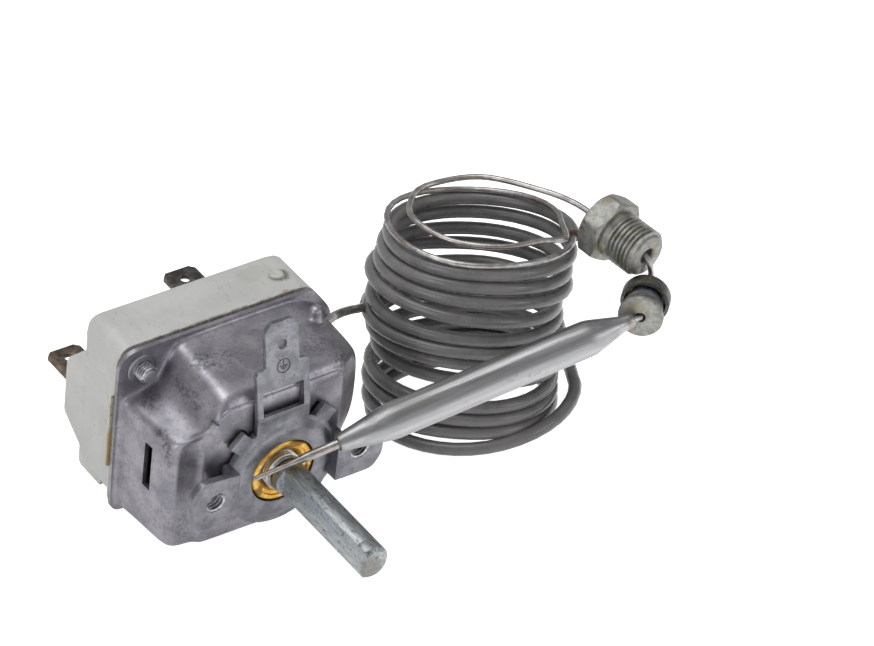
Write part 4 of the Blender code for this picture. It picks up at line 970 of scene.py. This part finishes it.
def gland(mat, cup_mat, seal_mat):
    """The gland, and the washers and the seal threaded on in front of it."""
    pieces = [gland_hexagon(mat)]
    stem = ((4.25, 4.2), (4.25, 4.6), (3.95, 5.0), (3.8, 5.3), (3.8, 10.75), (3.75, 11.0),
            (3.5, 11.26), (3.3, 11.3), (1.75, 11.3), (1.45, 11.15), (1.3, 10.9), (1.3, 4.4))
    pieces.append(add_piece("gland_stem", turned("gland_stem", stem, GLAND_FOOT, GLAND_AXIS), mat))
    ridge = thread("gland_thread", 3.75, 4.28, 0.82, 6.6, GLAND_FOOT + GLAND_AXIS * 0.0051,
                   GLAND_AXIS)
    pieces.append(add_piece("gland_thread", ridge, mat))
    return pieces + washers(mat, cup_mat, seal_mat)


def washers(mat, cup_mat, seal_mat):
    """The flat washer, the seal and the cup washer, on the bare capillary before the bulb."""
    pieces = []
    stack = (
        ("flat_washer", mat, "gland_zinc", "gland_flat_washer",
         ((0.9, 0.0), (3.4, 0.0), (3.7, 0.12), (3.8, 0.35), (3.8, 0.7), (3.7, 0.93), (3.4, 1.0),
          (0.9, 1.0))),
        ("seal_collar", seal_mat, "seal_dark", "gland_seal",
         ((0.9, 1.3), (3.1, 1.3), (3.4, 1.5), (3.45, 2.0), (3.2, 2.5), (3.35, 2.9), (3.1, 3.3),
          (2.75, 4.6), (2.6, 6.0), (2.4, 6.5), (0.9, 6.5))),
        ("cup_washer", cup_mat, "gland_zinc", "gland_cup_washer",
         ((3.5, 4.4), (4.05, 4.4), (4.1, 4.6), (4.1, 6.6), (3.9, 7.1), (3.5, 7.4), (0.9, 7.4),
          (0.9, 6.8), (3.3, 6.8), (3.5, 6.5), (3.5, 4.4))),
    )
    for name, finish, slot, node, profile in stack:
        mesh = turned(name, profile, STACK_FRONT, STACK_AXIS)
        pieces.append(add_piece(name, mesh, finish, (node,)))
    return pieces


def bulb(nickel, steel):
    """The bulb with its drawn ends, and the filling tube, pinched thin towards its tip."""
    shell = ((0.6, 0.0), (1.3, 0.0), (1.44, 0.12), (1.5, 0.5), (2.0, 3.5), (2.55, 6.6), (2.85, 8.2),
             (2.98, 9.0), (3.04, 9.8), (3.05, 11.0), (3.05, 43.8), (3.03, 44.8), (2.95, 45.5),
             (2.75, 46.3), (2.0, 49.0), (1.5, 50.7), (1.38, 51.2), (1.3, 52.2), (1.25, 53.0),
             (1.1, 53.2), (0.45, 53.2))
    tube = ((0.0, -15.0), (0.26, -14.95), (0.38, -14.75), (0.4, -14.4), (0.4, -9.2), (0.46, -8.2),
            (0.66, -6.4), (0.76, -5.4), (0.78, -4.8), (0.78, 1.2))
    return [add_piece("bulb_shell", turned("bulb_shell", shell, BULB_START, BULB_AXIS), nickel,
                      ("sensor_bulb",)),
            add_piece("filling_tube", turned("filling_tube", tube, BULB_START, BULB_AXIS, 48),
                      steel, ("bulb_filling_tube",))]


def coil_point(right, back, up):
    """A point given in mm to the right, back and up along the coil, in the frame."""
    return COIL_FOOT + (COIL_SIDE * right + COIL_BACK * back + COIL_AXIS * up) * MM


def wound(stations, first_way, step, points_a_quarter=10):
    """The points of a winding through its stations, a quarter turn apart, in the frame."""
    points = []
    heights = [height for _, height in stations]
    for i in range(len(stations) - 1):
        near = COIL_WAYS[(first_way + step * i) % 4]
        far = COIL_WAYS[(first_way + step * (i + 1)) % 4]
        before = heights[max(i - 1, 0)]
        after = heights[min(i + 2, len(heights) - 1)]
        slope, next_slope = (heights[i + 1] - before) / 2, (after - heights[i]) / 2
        for k in range(points_a_quarter):
            t = k / points_a_quarter
            angle = t * math.pi / 2
            flat = (near * stations[i][0] * math.cos(angle)
                    + far * stations[i + 1][0] * math.sin(angle))
            height = ((2 * t**3 - 3 * t**2 + 1) * heights[i] + (t**3 - 2 * t**2 + t) * slope
                      + (3 * t**2 - 2 * t**3) * heights[i + 1] + (t**3 - t**2) * next_slope)
            points.append(COIL_FOOT + (flat + COIL_AXIS * height) * MM)
    return points


def smooth(route, spacing):
    """Points at an even spacing along a smooth curve through a route."""
    route = [Vector(p) for p in route]
    ends = [route[0] * 2 - route[1]] + route + [route[-1] * 2 - route[-2]]
    points = []
    for i in range(1, len(ends) - 2):
        a, b, c, d = ends[i - 1:i + 3]
        count = max(1, round((c - b).length / spacing))
        for k in range(count):
            t = k / count
            points.append(0.5 * (2 * b + (c - a) * t + (2 * a - 5 * b + 4 * c - d) * t * t
                                 + (3 * b - a - 3 * c + d) * t * t * t))
    points.append(route[-1])
    return points


def cord(name, points, radius, mat):
    """A round cord along its points, as a curve of one open spline."""
    curve = bpy.data.curves.new(name, "CURVE")
    curve.dimensions = "3D"
    spline = curve.splines.new("POLY")
    spline.points.add(len(points) - 1)
    for point, place in zip(spline.points, points):
        point.co = (*place, 1)
    spline.use_smooth = True
    curve.bevel_depth = radius
    curve.bevel_resolution = 4
    curve.use_fill_caps = True
    obj = put(name, curve)
    curve.materials.append(mat)
    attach(obj, "housing")
    return obj


def lay_capillary(sleeve, steel):
    """The sleeved coil and the bare capillary above it, both as cords."""
    stations = [station for turn in SLEEVED_TURNS for station in turn]
    stations.append((UP_TO_THE_LEAD[0][0], UP_TO_THE_LEAD[0][2]))
    coil = wound(stations, 0, 1)
    rise = [coil_point(*place) for place in UP_TO_THE_LEAD] + [LEAD_END]
    coil += smooth(rise, 0.002)
    coil.reverse()
    sleeved = cord("sleeved_capillary", coil, SLEEVE_RADIUS, sleeve)
    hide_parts("sleeve_coil")

    turn = wound(BARE_TURN, 0, -1, 8)
    loops = [coil_point(BARE_TURN[-1][0], 0.0, BARE_TURN[-1][1])] + [Vector(p) for p in BARE_ROUTE]
    wire = turn + smooth(loops, 0.0015)
    bare = cord("bare_capillary", wire, WIRE_RADIUS, steel)
    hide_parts("capillary_turn", "capillary_tail")


lay_camera()
lay_floor()
lay_lights()

steel = capillary_steel()
screws = screw_steel()
zinc = zinc_plate()
bracket = bracket_plate()
ceramic = aged_ceramic()
gland_finish = gland_zinc("gland_zinc_plate", shade(136, 137, 133), shade(170, 170, 166))
# The cup washer gets a darker copy of the gland's zinc: painted shade for the dark inside of the cup
# round the seal.
cup_finish = gland_zinc("zinc_plate_painted_shade", shade(84, 85, 84), shade(112, 112, 110))
drawn_casing(zinc)
dressed("mounting_bracket", 0.11, bracket, sides=3)
bracket_details(bracket, screws)
earth_mark(plain_metal("stamped_mark", shade(96, 94, 98), 0.5))
bush_and_spindle(tarnished_brass(), spindle_steel())
dressed("control_shaft", 0.22, shaft_steel(), smooth_angle=30, body="shaft")
screw_and_stud(screws, groove_steel(), zinc)
dressed("ceramic_base", 0.35, ceramic, sides=3, smooth_angle=35)
dressed("terminal_1", 0.12, terminal_metal("dark_terminal", shade(70, 68, 68), shade(118, 114, 112),
                                           shade(84, 70, 56)))
dressed("terminal_2", 0.12, terminal_metal("brown_terminal", shade(84, 72, 60), shade(128, 116, 104),
                                           shade(104, 76, 52)))
on_the_wire = gland(gland_finish, cup_finish, seal_rubber()) + bulb(bulb_nickel(), steel)
lay_capillary(sleeve_plastic(), steel)

FINISHES = {
    "diaphragm_capsule": plain_metal("capsule_steel", shade(190, 190, 186), 0.3),
    "push_pin": ceramic,
    "insulating_gasket": gasket_sheet(),
    "corner_screw_2": screws,
    "fixed_contact": plain_metal("contact_silver", shade(214, 214, 210), 0.3),
    "moving_contact": plain_metal("moving_silver", shade(214, 214, 210), 0.3),
    "contact_spring": plain_metal("spring_bronze", shade(186, 146, 96), 0.32),
    "spring_carrier": plain_metal("carrier_bronze", shade(160, 126, 90), 0.4),
    "capillary_lead": steel,
}
for name, mat in FINISHES.items():
    for slot in nodes[name].material_slots:
        slot.material = mat
